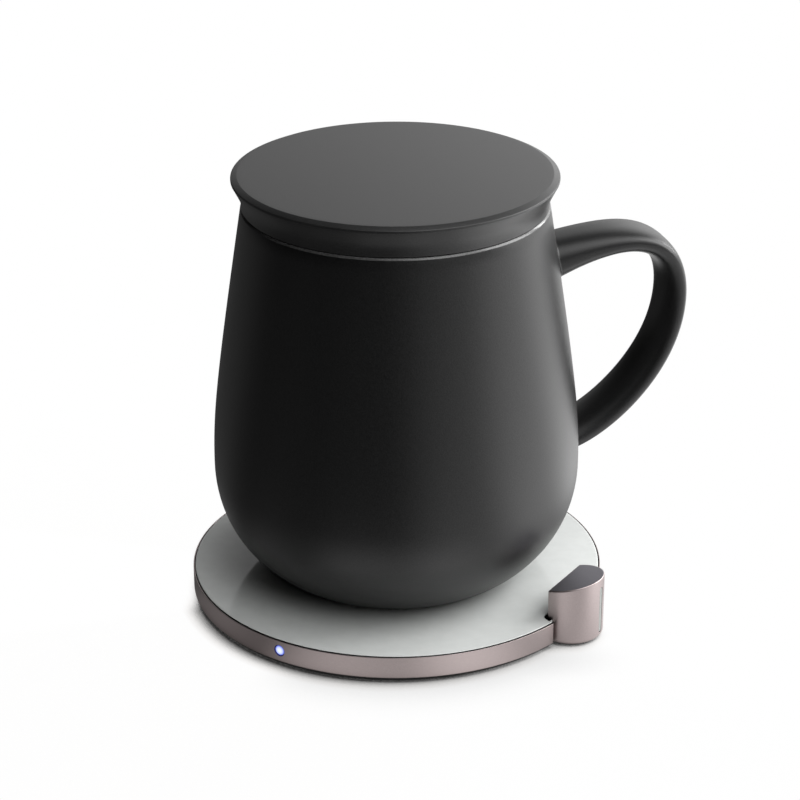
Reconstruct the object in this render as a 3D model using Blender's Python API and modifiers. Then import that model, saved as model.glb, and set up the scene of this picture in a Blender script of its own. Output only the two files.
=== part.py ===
"""Self heating mug with its lid, standing on a thin wireless heating pad.

Lengths are metres and +Z is up. The origin is on the floor under the middle of the pad, and the
pad, the mug and the lid share one upright axis. Azimuths are degrees counter-clockwise from +X.
"""
import math

import bmesh
import bpy
from mathutils import Matrix, Vector

# Clearances and facets shared by the whole part
TOUCH_GAP = 0.0003
CUT_OVERRUN = 0.001
MERGE_DISTANCE = 0.00001
PAD_FACETS = 60
MUG_FACETS = 48
INNER_FACETS = 32
SMALL_FACETS = 16
QUARTER_TURN = math.pi / 2

# Pad plate and the metal ring that frames it
PLATE_RADIUS = 0.0540
PLATE_TOP = 0.0073
PLATE_THICKNESS = 0.0009
PLATE_EDGE_ROUND = 0.00025
SEAM_WIDTH = 0.00025
SEAM_DROP = 0.00025
LIP_WIDTH = 0.00025
RING_WALL = 0.0011
RING_BOTTOM_ROUND = 0.0003
LIP_ROUND = 0.0001
LEDGE_DEPTH = 0.0025
LEDGE_THICKNESS = 0.0006
GASKET_THICKNESS = 0.0003
GASKET_WIDTH = 0.0028

# Underside of the pad
FOOT_PAD_THICKNESS = 0.0009
FOOT_PAD_MARGIN = 0.0004
COVER_THICKNESS = 0.0014
COVER_FLOOR_UNDER_INLET = 0.0007

# Screws that hold the base cover to lugs on the ring
SCREW_COUNT = 4
SCREW_FIRST_AZIMUTH = 15.0
SCREW_HEAD_RADIUS = 0.0015
SCREW_HEAD_HEIGHT = 0.0006
SCREW_SHANK_RADIUS = 0.0007
SCREW_LENGTH = 0.0032
LUG_LENGTH = 0.0067
LUG_WIDTH = 0.0046
LUG_SCREW_INSET = 0.0017

# Wireless power parts under the plate
TRAY_SHARE = 0.5556
TRAY_WALL = 0.0012
TRAY_FLOOR = 0.0005
TRAY_BOSS_RADIUS = 0.0050
FERRITE_THICKNESS = 0.0005
COIL_WIRE = 0.0010
COIL_MARGIN = 0.0026
COIL_TURNS = 6
COIL_POINTS_PER_TURN = 14
COIL_INNER_RADIUS = 0.0100
THERMISTOR_RADIUS = 0.0022
THERMISTOR_HEIGHT = 0.0008

# Control board behind the coil, and what is soldered to it
BOARD_THICKNESS = 0.0008
BOARD_TRAY_CLEARANCE = 0.0015
BOARD_LUG_CLEARANCE = 0.0004
BOARD_MIDDLE_AZIMUTH = 90.0
BOARD_SPAN = 96.0
BOARD_ARC_STEPS = 16
CHIP_WIDTH = 0.0050
CHIP_HEIGHT = 0.0009
CAPACITOR_LENGTH = 0.0032
CAPACITOR_WIDTH = 0.0025
CAPACITOR_HEIGHT = 0.0016
INDUCTOR_RADIUS = 0.0035
INDUCTOR_HEIGHT = 0.0019
INDUCTOR_WAIST = 0.0006
INDUCTOR_FLANGE = 0.0004

# Power inlet in the back of the ring
INLET_AZIMUTH = 90.0
INLET_WIDTH = 0.00894
INLET_HEIGHT = 0.00326
INLET_LENGTH = 0.00735
INLET_RECESS = 0.0005
INLET_WALL = 0.0003
INLET_ARC_STEPS = 6
TONGUE_WIDTH = 0.0066
TONGUE_THICKNESS = 0.0007
TONGUE_FRONT_INSET = 0.0010
TONGUE_BACK_THICKNESS = 0.0016

# Small light in the front of the ring
LIGHT_AZIMUTH = -123.2
LIGHT_HEIGHT = 0.0043
LENS_RADIUS = 0.0014
LENS_GAP = 0.0002
LENS_THICKNESS = 0.0009
LENS_RECESS = 0.0001
PIPE_RADIUS = 0.0004
PIPE_LENGTH = 0.0037
LED_BOARD_LENGTH = 0.0040
LED_BOARD_WIDTH = 0.0060
LED_LENGTH = 0.0012
LED_WIDTH = 0.0016
LED_HEIGHT = 0.0010

# D-shaped post at the edge of the pad: a round outer side, a flat inner side, a sloping top
POST_AZIMUTH = -32.0
POST_RADIUS = 0.0087
POST_FLAT_INSET = 0.00315
POST_FLAT_TO_CENTRE = 0.0020
POST_ARC_STEPS = 24
POST_BOTTOM = 0.0003
POST_HEIGHT_AT_FLAT = 0.0147
POST_TOP_SLOPE = 13.0
POST_WALL = 0.0010
POST_TOP_WALL = 0.0012
POST_BOTTOM_ROUND = 0.0009
POST_TOP_ROUND_SHARE = 0.45
POST_ROUND_SEGMENTS = 3
NOTCH_FLARE = 27.0
ARM_WIDTH = 0.0060
ARM_HEIGHT = 0.0020
ARM_REACH = 0.0068
ARM_SCREW_INSET = 0.0020
CORE_ROOM_ABOVE = 0.0004
STRIP_ANGLE = 3.5
STRIP_WIDTH = 0.0014
STRIP_BOTTOM = 0.0020
STRIP_HEIGHT = 0.0128
STRIP_GAP = 0.0001
STRIP_RECESS = 0.00008
STRIP_ARC_STEPS = 6
SENSOR_WIDTH = 0.0048
SENSOR_HEIGHT = 0.0040
SENSOR_THICKNESS = 0.0008
SENSOR_ABOVE_PLATE = 0.0015

# Mug: heights are above the plane that the mug stands on
FOOT_RADIUS = 0.0306
FOOT_LIFT = 0.0003
FOOT_CURVE_ANGLE = 24.0
FOOT_CURVE_REACH = 0.0050
BELLY_RADIUS = 0.0479
BELLY_HEIGHT = 0.0299
BELLY_REACH_DOWN = 0.0185
BELLY_REACH_UP = 0.0130
RIM_RADIUS = 0.0393
RIM_HEIGHT = 0.1004
RIM_LEAN = 9.0
RIM_REACH = 0.0490
RIM_ROUND = 0.0004
MUG_WALL = 0.0042
MUG_FLOOR = 0.0040
MUG_INNER_FLOOR_SHARE = 0.72
MUG_INNER_FLOOR_REACH = 0.0140
LOWER_CURVE_STEPS = 7
UPPER_CURVE_STEPS = 8
INNER_CURVE_STEPS = 5

# Strap handle, fired in one piece with the mug
HANDLE_AZIMUTH = 15.5
HANDLE_WIDTH = 0.0163
HANDLE_SQUARENESS = 3.34
HANDLE_TOP_THICKNESS = 0.0100
HANDLE_STRAP_THICKNESS = 0.00545
HANDLE_END_THICKNESS = 0.0060
HANDLE_TOP_TAPER_SHARE = 0.30
HANDLE_END_TAPER_SHARE = 0.40
HANDLE_ROOT_DEPTH = 0.0021
HANDLE_TOP_HEIGHT_SHARE = 0.8172
HANDLE_TOP_ANGLE = 11.0
HANDLE_TOP_REACH = 0.0061
HANDLE_OUTER_RADIUS = 0.07528
HANDLE_OUTER_HEIGHT_SHARE = 0.6935
HANDLE_REACH_UP = 0.0248
HANDLE_REACH_DOWN = 0.0206
HANDLE_END_HEIGHT_SHARE = 0.3071
HANDLE_END_ANGLE = 13.5
HANDLE_END_REACH = 0.0104
HANDLE_STATIONS = 13
HANDLE_SECTION_POINTS = 16

# Hollow in the mug's base with the receiver, closed by a cap
FOOT_RING_INSET = 0.0010
FOOT_RING_WIDTH = 0.0014
FOOT_RING_HEIGHT = 0.0009
HOLLOW_LAND = 0.0012
BASE_HOLLOW_HEIGHT = 0.0089
FILM_MARGIN = 0.0015
FILM_THICKNESS = 0.0003
PAD_FELT_THICKNESS = 0.0018
FELT_HOLE_RADIUS = 0.0035
CUTOUT_WIDTH = 0.0040
CUTOUT_HEIGHT = 0.0010
RECTIFIER_WIDTH = 0.0050
RECTIFIER_HEIGHT = 0.0010
RECTIFIER_OFFSET = 0.0120
RECEIVER_MARGIN = 0.0020
RECEIVER_COIL_INNER_RADIUS = 0.0090
RECEIVER_COIL_MARGIN = 0.0010
CAP_THICKNESS = 0.0010

# Lid: heights are above the plane where it sits on the rim
LID_NECK_STEP = 0.0001
LID_NECK_ROUND = 0.0002
LID_WAIST_HEIGHT = 0.0004
LID_COVE_FLARE = 0.0020
LID_COVE_HEIGHT = 0.00685
LID_COVE_REACH = 0.0026
LID_COVE_END_REACH = 0.0025
LID_COVE_END_ANGLE = 68.0
LID_COVE_STEPS = 6
LID_EDGE_FLARE = 0.00235
LID_HEIGHT = 0.00855
LID_EDGE_ROUND = 0.0006
LID_DISH_DEPTH = 0.0009
LID_DISH_MARGIN = 0.00275
LID_DISH_STEPS = 5
LID_PLUG_CLEARANCE = 0.0006
LID_PLUG_DEPTH = 0.0095
LID_PLUG_WALL = 0.0034
LID_PLUG_ROUND = 0.0008
LID_TOP_WALL = 0.0034
SEAL_DEPTH = 0.0030
SEAL_HEIGHT = 0.0020
SEAL_THICKNESS = 0.0013
SEAL_GROOVE_DEPTH = 0.0013

# Levels and radii that follow from the sizes above
COVER_BOTTOM = FOOT_PAD_THICKNESS + TOUCH_GAP
COVER_TOP = COVER_BOTTOM + COVER_THICKNESS
DECK = COVER_TOP + TOUCH_GAP
PLATE_BOTTOM = PLATE_TOP - PLATE_THICKNESS
UNDER_PLATE = PLATE_BOTTOM - TOUCH_GAP
GASKET_BOTTOM = UNDER_PLATE - GASKET_THICKNESS
LEDGE_TOP = GASKET_BOTTOM - TOUCH_GAP
LEDGE_BOTTOM = LEDGE_TOP - LEDGE_THICKNESS
RING_TOP = PLATE_TOP - SEAM_DROP
LIP_INNER = PLATE_RADIUS + SEAM_WIDTH
RING_RADIUS = LIP_INNER + LIP_WIDTH
RING_INNER = RING_RADIUS - RING_WALL
LEDGE_INNER = RING_INNER - LEDGE_DEPTH
COVER_RADIUS = RING_INNER - TOUCH_GAP
LUG_INNER = RING_INNER - LUG_LENGTH
SCREW_CIRCLE = LUG_INNER + LUG_SCREW_INSET
POST_FLAT = PLATE_RADIUS - POST_FLAT_INSET
POST_CENTRE = POST_FLAT + POST_FLAT_TO_CENTRE
POST_RISE = math.tan(math.radians(POST_TOP_SLOPE))
POST_TOP_AT_FLAT = POST_BOTTOM + POST_HEIGHT_AT_FLAT
POST_INNER_FLAT = POST_FLAT + POST_WALL
ARM_END = POST_FLAT - ARM_REACH
FOOT_PAD_RADIUS = POST_FLAT - TOUCH_GAP - FOOT_PAD_MARGIN
TRAY_RADIUS = PLATE_RADIUS * TRAY_SHARE
TRAY_BORE = TRAY_RADIUS - TRAY_WALL
COIL_PITCH = (TRAY_BORE - COIL_MARGIN - COIL_INNER_RADIUS) / COIL_TURNS
BOARD_INNER = TRAY_RADIUS + BOARD_TRAY_CLEARANCE
BOARD_OUTER = LUG_INNER - BOARD_LUG_CLEARANCE
BOARD_TOP = DECK + BOARD_THICKNESS
PART_DECK = BOARD_TOP + TOUCH_GAP
INLET_BOTTOM = COVER_BOTTOM + COVER_FLOOR_UNDER_INLET + TOUCH_GAP
MUG_BASE = PLATE_TOP + TOUCH_GAP
LID_BASE = MUG_BASE + RIM_HEIGHT + TOUCH_GAP
MUG_CEILING = MUG_BASE + FOOT_LIFT + BASE_HOLLOW_HEIGHT
RIM_INNER = RIM_RADIUS - MUG_WALL
HANDLE_TOP_HEIGHT = RIM_HEIGHT * HANDLE_TOP_HEIGHT_SHARE
HANDLE_OUTER_HEIGHT = RIM_HEIGHT * HANDLE_OUTER_HEIGHT_SHARE
HANDLE_END_HEIGHT = RIM_HEIGHT * HANDLE_END_HEIGHT_SHARE
FOOT_RING_OUTER = FOOT_RADIUS - FOOT_RING_INSET
FOOT_RING_INNER = FOOT_RING_OUTER - FOOT_RING_WIDTH
BASE_HOLLOW_RADIUS = FOOT_RING_INNER - HOLLOW_LAND
FILM_RADIUS = BASE_HOLLOW_RADIUS - FILM_MARGIN
RECEIVER_RADIUS = BASE_HOLLOW_RADIUS - RECEIVER_MARGIN
RECEIVER_COIL_RADIUS = RECEIVER_RADIUS - RECEIVER_COIL_MARGIN
RECEIVER_COIL_PITCH = (RECEIVER_COIL_RADIUS - RECEIVER_COIL_INNER_RADIUS) / COIL_TURNS
MUG_INNER_FLOOR_RADIUS = FOOT_RADIUS * MUG_INNER_FLOOR_SHARE
PLUG_RADIUS = RIM_INNER - LID_PLUG_CLEARANCE
LID_NECK_RADIUS = RIM_RADIUS + LID_NECK_STEP
LID_COVE_RADIUS = LID_NECK_RADIUS + LID_COVE_FLARE
LID_RADIUS = LID_NECK_RADIUS + LID_EDGE_FLARE
LID_DISH_RADIUS = LID_RADIUS - LID_DISH_MARGIN
LID_HOLLOW_HEIGHT = LID_HEIGHT - LID_DISH_DEPTH - LID_TOP_WALL

PARTS = "self_heating_mug"
GUIDES = "cutters_and_guides"


def clear_scene():
    for obj in list(bpy.data.objects):
        bpy.data.objects.remove(obj, do_unlink=True)
    for name in (PARTS, GUIDES):
        bpy.context.scene.collection.children.link(bpy.data.collections.new(name))


def link(name, data):
    obj = bpy.data.objects.new(name, data)
    bpy.data.collections[PARTS].objects.link(obj)
    return obj


def as_guide(obj):
    bpy.data.collections[PARTS].objects.unlink(obj)
    bpy.data.collections[GUIDES].objects.link(obj)
    obj.hide_render = True
    obj.display_type = 'WIRE'
    return obj


def finish(obj, colour, roughness, metallic=0.0):
    material = bpy.data.materials.new(obj.name)
    material.use_nodes = True
    shader = material.node_tree.nodes["Principled BSDF"]
    shader.inputs["Base Color"].default_value = (*colour, 1.0)
    shader.inputs["Roughness"].default_value = roughness
    shader.inputs["Metallic"].default_value = metallic
    obj.data.materials.clear()
    obj.data.materials.append(material)
    return obj


def boolean(obj, guide, operation):
    modifier = obj.modifiers.new(guide.name, 'BOOLEAN')
    modifier.operation = operation
    modifier.solver = 'EXACT'
    modifier.object = as_guide(guide)
    return obj


def cut(obj, guide):
    return boolean(obj, guide, 'DIFFERENCE')


def join(obj, guide):
    return boolean(obj, guide, 'UNION')


def turned(name, profile, facets):
    """Turn (radius, height) points about Z. The points run down the outer side."""
    mesh = bpy.data.meshes.new(name)
    edges = [(i, i + 1) for i in range(len(profile) - 1)]
    if profile[0][0] > 0.0:
        edges.append((len(profile) - 1, 0))
    mesh.from_pydata([(radius, 0.0, height) for radius, height in profile], edges, [])
    obj = link(name, mesh)
    screw = obj.modifiers.new("turn", 'SCREW')
    screw.angle = math.tau
    screw.steps = facets
    screw.render_steps = facets
    screw.use_merge_vertices = True
    screw.merge_threshold = MERGE_DISTANCE
    return obj


def disc(name, radius, bottom, top, facets):
    return turned(name, [(0.0, top), (radius, top), (radius, bottom), (0.0, bottom)], facets)


def washer(name, inner, outer, bottom, top, facets):
    return turned(name, [(inner, top), (outer, top), (outer, bottom), (inner, bottom)], facets)


def block(name, low, high, azimuth=0.0):
    """A box between two corners (out from the axis, sideways, up), swung to an azimuth."""
    low = Vector(low)
    high = Vector(high)
    bm = bmesh.new()
    bmesh.ops.create_cube(bm, size=1.0)
    bmesh.ops.scale(bm, vec=high - low, verts=bm.verts)
    bmesh.ops.translate(bm, vec=(low + high) / 2, verts=bm.verts)
    mesh = bpy.data.meshes.new(name)
    bm.to_mesh(mesh)
    bm.free()
    obj = link(name, mesh)
    obj.rotation_euler.z = math.radians(azimuth)
    return obj


def pin(name, radius, bottom, top, facets=SMALL_FACETS):
    """An upright cylinder at the origin, to be moved to its place."""
    bm = bmesh.new()
    bmesh.ops.create_cone(bm, cap_ends=True, segments=facets, radius1=radius, radius2=radius,
                          depth=top - bottom)
    bmesh.ops.translate(bm, vec=(0.0, 0.0, (bottom + top) / 2), verts=bm.verts)
    mesh = bpy.data.meshes.new(name)
    bm.to_mesh(mesh)
    bm.free()
    return link(name, mesh)


def swing_to(obj, radius, azimuth):
    """Move an upright piece out from the axis and turn it to face outwards."""
    angle = math.radians(azimuth)
    obj.location = (radius * math.cos(angle), radius * math.sin(angle), obj.location.z)
    obj.rotation_euler.z = angle
    return obj


def lay_outwards(obj, radius, height, azimuth):
    """Turn a piece's own Z to point out from the axis, its own X down, and place it."""
    angle = math.radians(azimuth)
    obj.rotation_euler = (0.0, QUARTER_TURN, angle)
    obj.location = (radius * math.cos(angle), radius * math.sin(angle), height)
    return obj


def meshed(obj):
    """Make a mesh object of a curve object, with its caps welded on."""
    bpy.context.view_layer.update()
    graph = bpy.context.evaluated_depsgraph_get()
    mesh = bpy.data.meshes.new_from_object(obj.evaluated_get(graph))
    bm = bmesh.new()
    bm.from_mesh(mesh)
    bmesh.ops.remove_doubles(bm, verts=bm.verts, dist=MERGE_DISTANCE)
    bmesh.ops.dissolve_limit(bm, angle_limit=math.radians(0.1), verts=bm.verts, edges=bm.edges)
    bmesh.ops.recalc_face_normals(bm, faces=bm.faces)
    bm.to_mesh(mesh)
    bm.free()
    name = obj.name
    matrix = obj.matrix_world.copy()
    bpy.data.objects.remove(obj, do_unlink=True)
    solid = link(name, mesh)
    solid.matrix_world = matrix
    return solid


def flat_curve(name, outlines, thickness):
    curve = bpy.data.curves.new(name, 'CURVE')
    curve.dimensions = '2D'
    curve.fill_mode = 'BOTH'
    curve.extrude = thickness / 2
    for outline in outlines:
        spline = curve.splines.new('POLY')
        spline.points.add(len(outline) - 1)
        for point, (x, y) in zip(spline.points, outline):
            point.co = (x, y, 0.0, 1.0)
        spline.use_cyclic_u = True
    return link(name, curve)


def extruded(name, outlines, bottom, top, azimuth=0.0):
    """A flat outline with thickness, swung to an azimuth about the origin."""
    obj = flat_curve(name, outlines, top - bottom)
    obj.location.z = (bottom + top) / 2
    obj.rotation_euler.z = math.radians(azimuth)
    return meshed(obj)


def arc(centre, radius, start, end, steps):
    """Points on an arc, from one angle in degrees to another, ends included."""
    points = []
    for step in range(steps + 1):
        angle = math.radians(start + (end - start) * step / steps)
        points.append((centre[0] + radius * math.cos(angle), centre[1] + radius * math.sin(angle)))
    return points


def slot_outline(length, width, steps):
    """A straight slot with round ends, its length along X."""
    half = (length - width) / 2
    right = arc((half, 0.0), width / 2, -90.0, 90.0, steps)
    left = arc((-half, 0.0), width / 2, 90.0, 270.0, steps)
    return right + left


def cubic(start, first, second, end, steps):
    """Points on a cubic curve between two ends, both included."""
    points = []
    for step in range(steps + 1):
        t = step / steps
        s = 1 - t
        weights = (s ** 3, 3 * s * s * t, 3 * s * t * t, t ** 3)
        corners = (start, first, second, end)
        points.append(tuple(sum(w * c[axis] for w, c in zip(weights, corners)) for axis in (0, 1)))
    return points


def direction(degrees):
    return Vector((math.cos(math.radians(degrees)), math.sin(math.radians(degrees))))


def spiral(name, inner, pitch, turns, wire, height):
    """A flat coil: one round wire that winds outwards in its plane."""
    curve = bpy.data.curves.new(name, 'CURVE')
    curve.dimensions = '3D'
    curve.bevel_depth = wire / 2
    curve.bevel_resolution = 1
    curve.use_fill_caps = True
    spline = curve.splines.new('POLY')
    count = turns * COIL_POINTS_PER_TURN + 1
    spline.points.add(count - 1)
    for index, point in enumerate(spline.points):
        turn = index / COIL_POINTS_PER_TURN
        radius = inner + pitch * turn
        angle = turn * math.tau
        point.co = (radius * math.cos(angle), radius * math.sin(angle), height, 1.0)
    least_gap = pitch * math.cos(math.pi / COIL_POINTS_PER_TURN) - wire
    print(name, "least gap between turns, m:", round(least_gap, 5))
    return link(name, curve)


def post_outline(offset):
    """The post's D shape, grown by an offset, out from the pad's axis along X."""
    radius = POST_RADIUS + offset
    corner = math.degrees(math.acos((POST_FLAT - offset - POST_CENTRE) / radius))
    return arc((POST_CENTRE, 0.0), radius, -corner, corner, POST_ARC_STEPS)


def post_prism(name, offset, bottom, top_at_flat):
    """An upright D prism whose top climbs outwards at the post's slope."""
    obj = extruded(name, [post_outline(offset)], bottom, top_at_flat, POST_AZIMUTH)
    for vertex in obj.data.vertices:
        if vertex.co.z > 0.0:
            vertex.co.z += (vertex.co.x - POST_FLAT) * POST_RISE
    return obj


def notch_outline():
    """The room for the post: straight along its flat side, then flaring to the pad's edge."""
    flat = POST_FLAT - TOUCH_GAP
    half = post_outline(TOUCH_GAP)[-1][1]
    far = RING_RADIUS + CUT_OVERRUN
    wide = half + (far - flat) * math.tan(math.radians(NOTCH_FLARE))
    return [(flat, -half), (far, -wide), (far, wide), (flat, half)]


def clear_the_post(obj, tag):
    """Cut the room for the post out of a piece of the pad."""
    top = PLATE_TOP + CUT_OVERRUN
    return cut(obj, extruded(tag, [notch_outline()], -CUT_OVERRUN, top, POST_AZIMUTH))


def screw_azimuths():
    return [SCREW_FIRST_AZIMUTH + 360.0 * index / SCREW_COUNT for index in range(SCREW_COUNT)]


def screw_places():
    return [(SCREW_CIRCLE, azimuth) for azimuth in screw_azimuths()]


def screw_profile(length):
    head_top = COVER_BOTTOM + SCREW_HEAD_HEIGHT
    tip = COVER_BOTTOM + length
    return [(0.0, tip), (SCREW_SHANK_RADIUS, tip), (SCREW_SHANK_RADIUS, head_top),
            (SCREW_HEAD_RADIUS, head_top), (SCREW_HEAD_RADIUS, COVER_BOTTOM), (0.0, COVER_BOTTOM)]


def screw_hole(tag, radius, azimuth):
    """A stepped hole: room for the head from below, and for the shank above it."""
    head = SCREW_HEAD_RADIUS + TOUCH_GAP
    shank = SCREW_SHANK_RADIUS + TOUCH_GAP
    step = COVER_BOTTOM + SCREW_HEAD_HEIGHT + TOUCH_GAP
    top = COVER_BOTTOM + SCREW_LENGTH + TOUCH_GAP
    bottom = COVER_BOTTOM - CUT_OVERRUN
    profile = [(0.0, top), (shank, top), (shank, step), (head, step), (head, bottom), (0.0, bottom)]
    return swing_to(turned(tag, profile, SMALL_FACETS), radius, azimuth)


def make_foot_pad():
    obj = disc("foot_pad", FOOT_PAD_RADIUS, 0.0, FOOT_PAD_THICKNESS, PAD_FACETS)
    finish(obj, (0.020, 0.020, 0.021), 0.85)


def make_base_cover():
    obj = disc("base_cover", COVER_RADIUS, COVER_BOTTOM, COVER_TOP, PAD_FACETS)
    clear_the_post(obj, "cover_post_notch")
    half = INLET_WIDTH / 2 + TOUCH_GAP
    back = RING_RADIUS - INLET_RECESS - INLET_LENGTH - TOUCH_GAP
    pocket_floor = INLET_BOTTOM - TOUCH_GAP
    cut(obj, block("inlet_pocket", (back, -half, pocket_floor),
                   (RING_RADIUS, half, COVER_TOP + CUT_OVERRUN), INLET_AZIMUTH))
    for index, (radius, azimuth) in enumerate(screw_places() + [(ARM_END + ARM_SCREW_INSET, POST_AZIMUTH)]):
        cut(obj, screw_hole("cover_hole_%d" % (index + 1), radius, azimuth))
    finish(obj, (0.018, 0.018, 0.019), 0.6)


def ring_profile():
    top_round = arc((RING_RADIUS - LIP_ROUND, RING_TOP - LIP_ROUND), LIP_ROUND, 90.0, 0.0, 2)
    bottom_round = arc((RING_RADIUS - RING_BOTTOM_ROUND, COVER_BOTTOM + RING_BOTTOM_ROUND),
                       RING_BOTTOM_ROUND, 0.0, -90.0, 2)
    inner_side = [(RING_INNER, COVER_BOTTOM), (RING_INNER, LEDGE_BOTTOM), (LEDGE_INNER, LEDGE_BOTTOM),
                  (LEDGE_INNER, LEDGE_TOP), (LIP_INNER, LEDGE_TOP), (LIP_INNER, RING_TOP)]
    return top_round + bottom_round + inner_side


def make_housing_ring():
    obj = turned("housing_ring", ring_profile(), PAD_FACETS)
    half = LUG_WIDTH / 2
    into_wall = RING_INNER + RING_WALL / 2
    into_ledge = LEDGE_BOTTOM + LEDGE_THICKNESS / 2
    for index, azimuth in enumerate(screw_azimuths()):
        low = (LUG_INNER, -half, DECK)
        high = (into_wall, half, into_ledge)
        join(obj, block("lug_%d" % (index + 1), low, high, azimuth))
        cut(obj, screw_hole("lug_hole_%d" % (index + 1), SCREW_CIRCLE, azimuth))
    clear_the_post(obj, "ring_post_notch")
    lens_hole = pin("lens_hole", LENS_RADIUS + LENS_GAP, -RING_WALL - TOUCH_GAP, CUT_OVERRUN)
    cut(obj, lay_outwards(lens_hole, RING_RADIUS, LIGHT_HEIGHT, LIGHT_AZIMUTH))
    width = INLET_WIDTH + 2 * TOUCH_GAP
    height = INLET_HEIGHT + 2 * TOUCH_GAP
    mouth = flat_curve("inlet_mouth", [slot_outline(width, height, INLET_ARC_STEPS)], 2 * LUG_LENGTH)
    mouth.data.transform(Matrix.Rotation(QUARTER_TURN, 4, 'Z'))
    lay_outwards(mouth, RING_RADIUS, INLET_BOTTOM + INLET_HEIGHT / 2, INLET_AZIMUTH)
    cut(obj, meshed(mouth))
    finish(obj, (0.36, 0.31, 0.31), 0.42, 0.9)


def make_top_plate():
    round_centre = (PLATE_RADIUS - PLATE_EDGE_ROUND, PLATE_TOP - PLATE_EDGE_ROUND)
    edge = arc(round_centre, PLATE_EDGE_ROUND, 90.0, 0.0, 3)
    profile = [(0.0, PLATE_TOP)] + edge + [(PLATE_RADIUS, PLATE_BOTTOM), (0.0, PLATE_BOTTOM)]
    obj = turned("top_plate", profile, PAD_FACETS)
    clear_the_post(obj, "plate_post_notch")
    finish(obj, (0.62, 0.64, 0.62), 0.12)


def make_plate_gasket():
    obj = washer("plate_gasket", PLATE_RADIUS - GASKET_WIDTH, PLATE_RADIUS, GASKET_BOTTOM,
                 GASKET_BOTTOM + GASKET_THICKNESS, PAD_FACETS)
    clear_the_post(obj, "gasket_post_notch")
    finish(obj, (0.012, 0.012, 0.012), 0.8)


def make_transmitter():
    floor_top = DECK + TRAY_FLOOR
    ferrite_bottom = floor_top + TOUCH_GAP
    ferrite_top = ferrite_bottom + FERRITE_THICKNESS
    coil_bottom = ferrite_top + TOUCH_GAP
    thermistor_bottom = UNDER_PLATE - THERMISTOR_HEIGHT
    boss_top = thermistor_bottom - TOUCH_GAP
    profile = [(0.0, boss_top), (TRAY_BOSS_RADIUS, boss_top), (TRAY_BOSS_RADIUS, floor_top),
               (TRAY_BORE, floor_top), (TRAY_BORE, UNDER_PLATE), (TRAY_RADIUS, UNDER_PLATE),
               (TRAY_RADIUS, DECK), (0.0, DECK)]
    finish(turned("coil_tray", profile, INNER_FACETS), (0.035, 0.035, 0.037), 0.6)
    ferrite = washer("pad_ferrite", TRAY_BOSS_RADIUS + TOUCH_GAP, TRAY_BORE - TOUCH_GAP, ferrite_bottom,
                     ferrite_top, INNER_FACETS)
    finish(ferrite, (0.045, 0.045, 0.05), 0.5)
    coil = spiral("transmitter_coil", COIL_INNER_RADIUS, COIL_PITCH, COIL_TURNS, COIL_WIRE,
                  coil_bottom + COIL_WIRE / 2)
    finish(coil, (0.62, 0.26, 0.12), 0.3, 1.0)
    thermistor = disc("plate_thermistor", THERMISTOR_RADIUS, thermistor_bottom, UNDER_PLATE, SMALL_FACETS)
    finish(thermistor, (0.05, 0.08, 0.16), 0.5)


def board_outline():
    half = BOARD_SPAN / 2
    outer = arc((0.0, 0.0), BOARD_OUTER, -half, half, BOARD_ARC_STEPS)
    inner = arc((0.0, 0.0), BOARD_INNER, half, -half, BOARD_ARC_STEPS)
    return outer + inner


def on_board(name, length, width, height, turn):
    """A boxed component on the middle of the control board, turned along it by some degrees."""
    middle = (BOARD_INNER + BOARD_OUTER) / 2
    low = (middle - length / 2, -width / 2, PART_DECK)
    high = (middle + length / 2, width / 2, PART_DECK + height)
    return block(name, low, high, BOARD_MIDDLE_AZIMUTH + turn)


def make_control_board():
    board = extruded("control_board", [board_outline()], DECK, BOARD_TOP, BOARD_MIDDLE_AZIMUTH)
    finish(board, (0.012, 0.09, 0.045), 0.45)
    for name, turn in (("driver_chip", -12.0), ("control_chip", 12.0)):
        finish(on_board(name, CHIP_WIDTH, CHIP_WIDTH, CHIP_HEIGHT, turn), (0.02, 0.02, 0.022), 0.5)
    for index, turn in enumerate((-24.0, -31.0, -38.0)):
        capacitor = on_board("resonance_capacitor_%d" % (index + 1), CAPACITOR_LENGTH, CAPACITOR_WIDTH,
                             CAPACITOR_HEIGHT, turn)
        finish(capacitor, (0.42, 0.30, 0.18), 0.5)
    top = PART_DECK + INDUCTOR_HEIGHT
    waist = INDUCTOR_RADIUS - INDUCTOR_WAIST
    profile = [(0.0, top), (INDUCTOR_RADIUS, top), (INDUCTOR_RADIUS, top - INDUCTOR_FLANGE),
               (waist, top - INDUCTOR_FLANGE), (waist, PART_DECK + INDUCTOR_FLANGE),
               (INDUCTOR_RADIUS, PART_DECK + INDUCTOR_FLANGE), (INDUCTOR_RADIUS, PART_DECK), (0.0, PART_DECK)]
    inductor = turned("filter_inductor", profile, SMALL_FACETS)
    swing_to(inductor, (BOARD_INNER + BOARD_OUTER) / 2, BOARD_MIDDLE_AZIMUTH + BOARD_SPAN / 3)
    finish(inductor, (0.10, 0.10, 0.11), 0.5)


def along_inlet(name, outlines, back, front):
    """An outline extruded along the inlet's own axis, between two distances from the pad's axis."""
    obj = flat_curve(name, outlines, front - back)
    obj.data.transform(Matrix.Rotation(QUARTER_TURN, 4, 'Z'))
    lay_outwards(obj, (back + front) / 2, INLET_BOTTOM + INLET_HEIGHT / 2, INLET_AZIMUTH)
    return meshed(obj)


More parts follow.
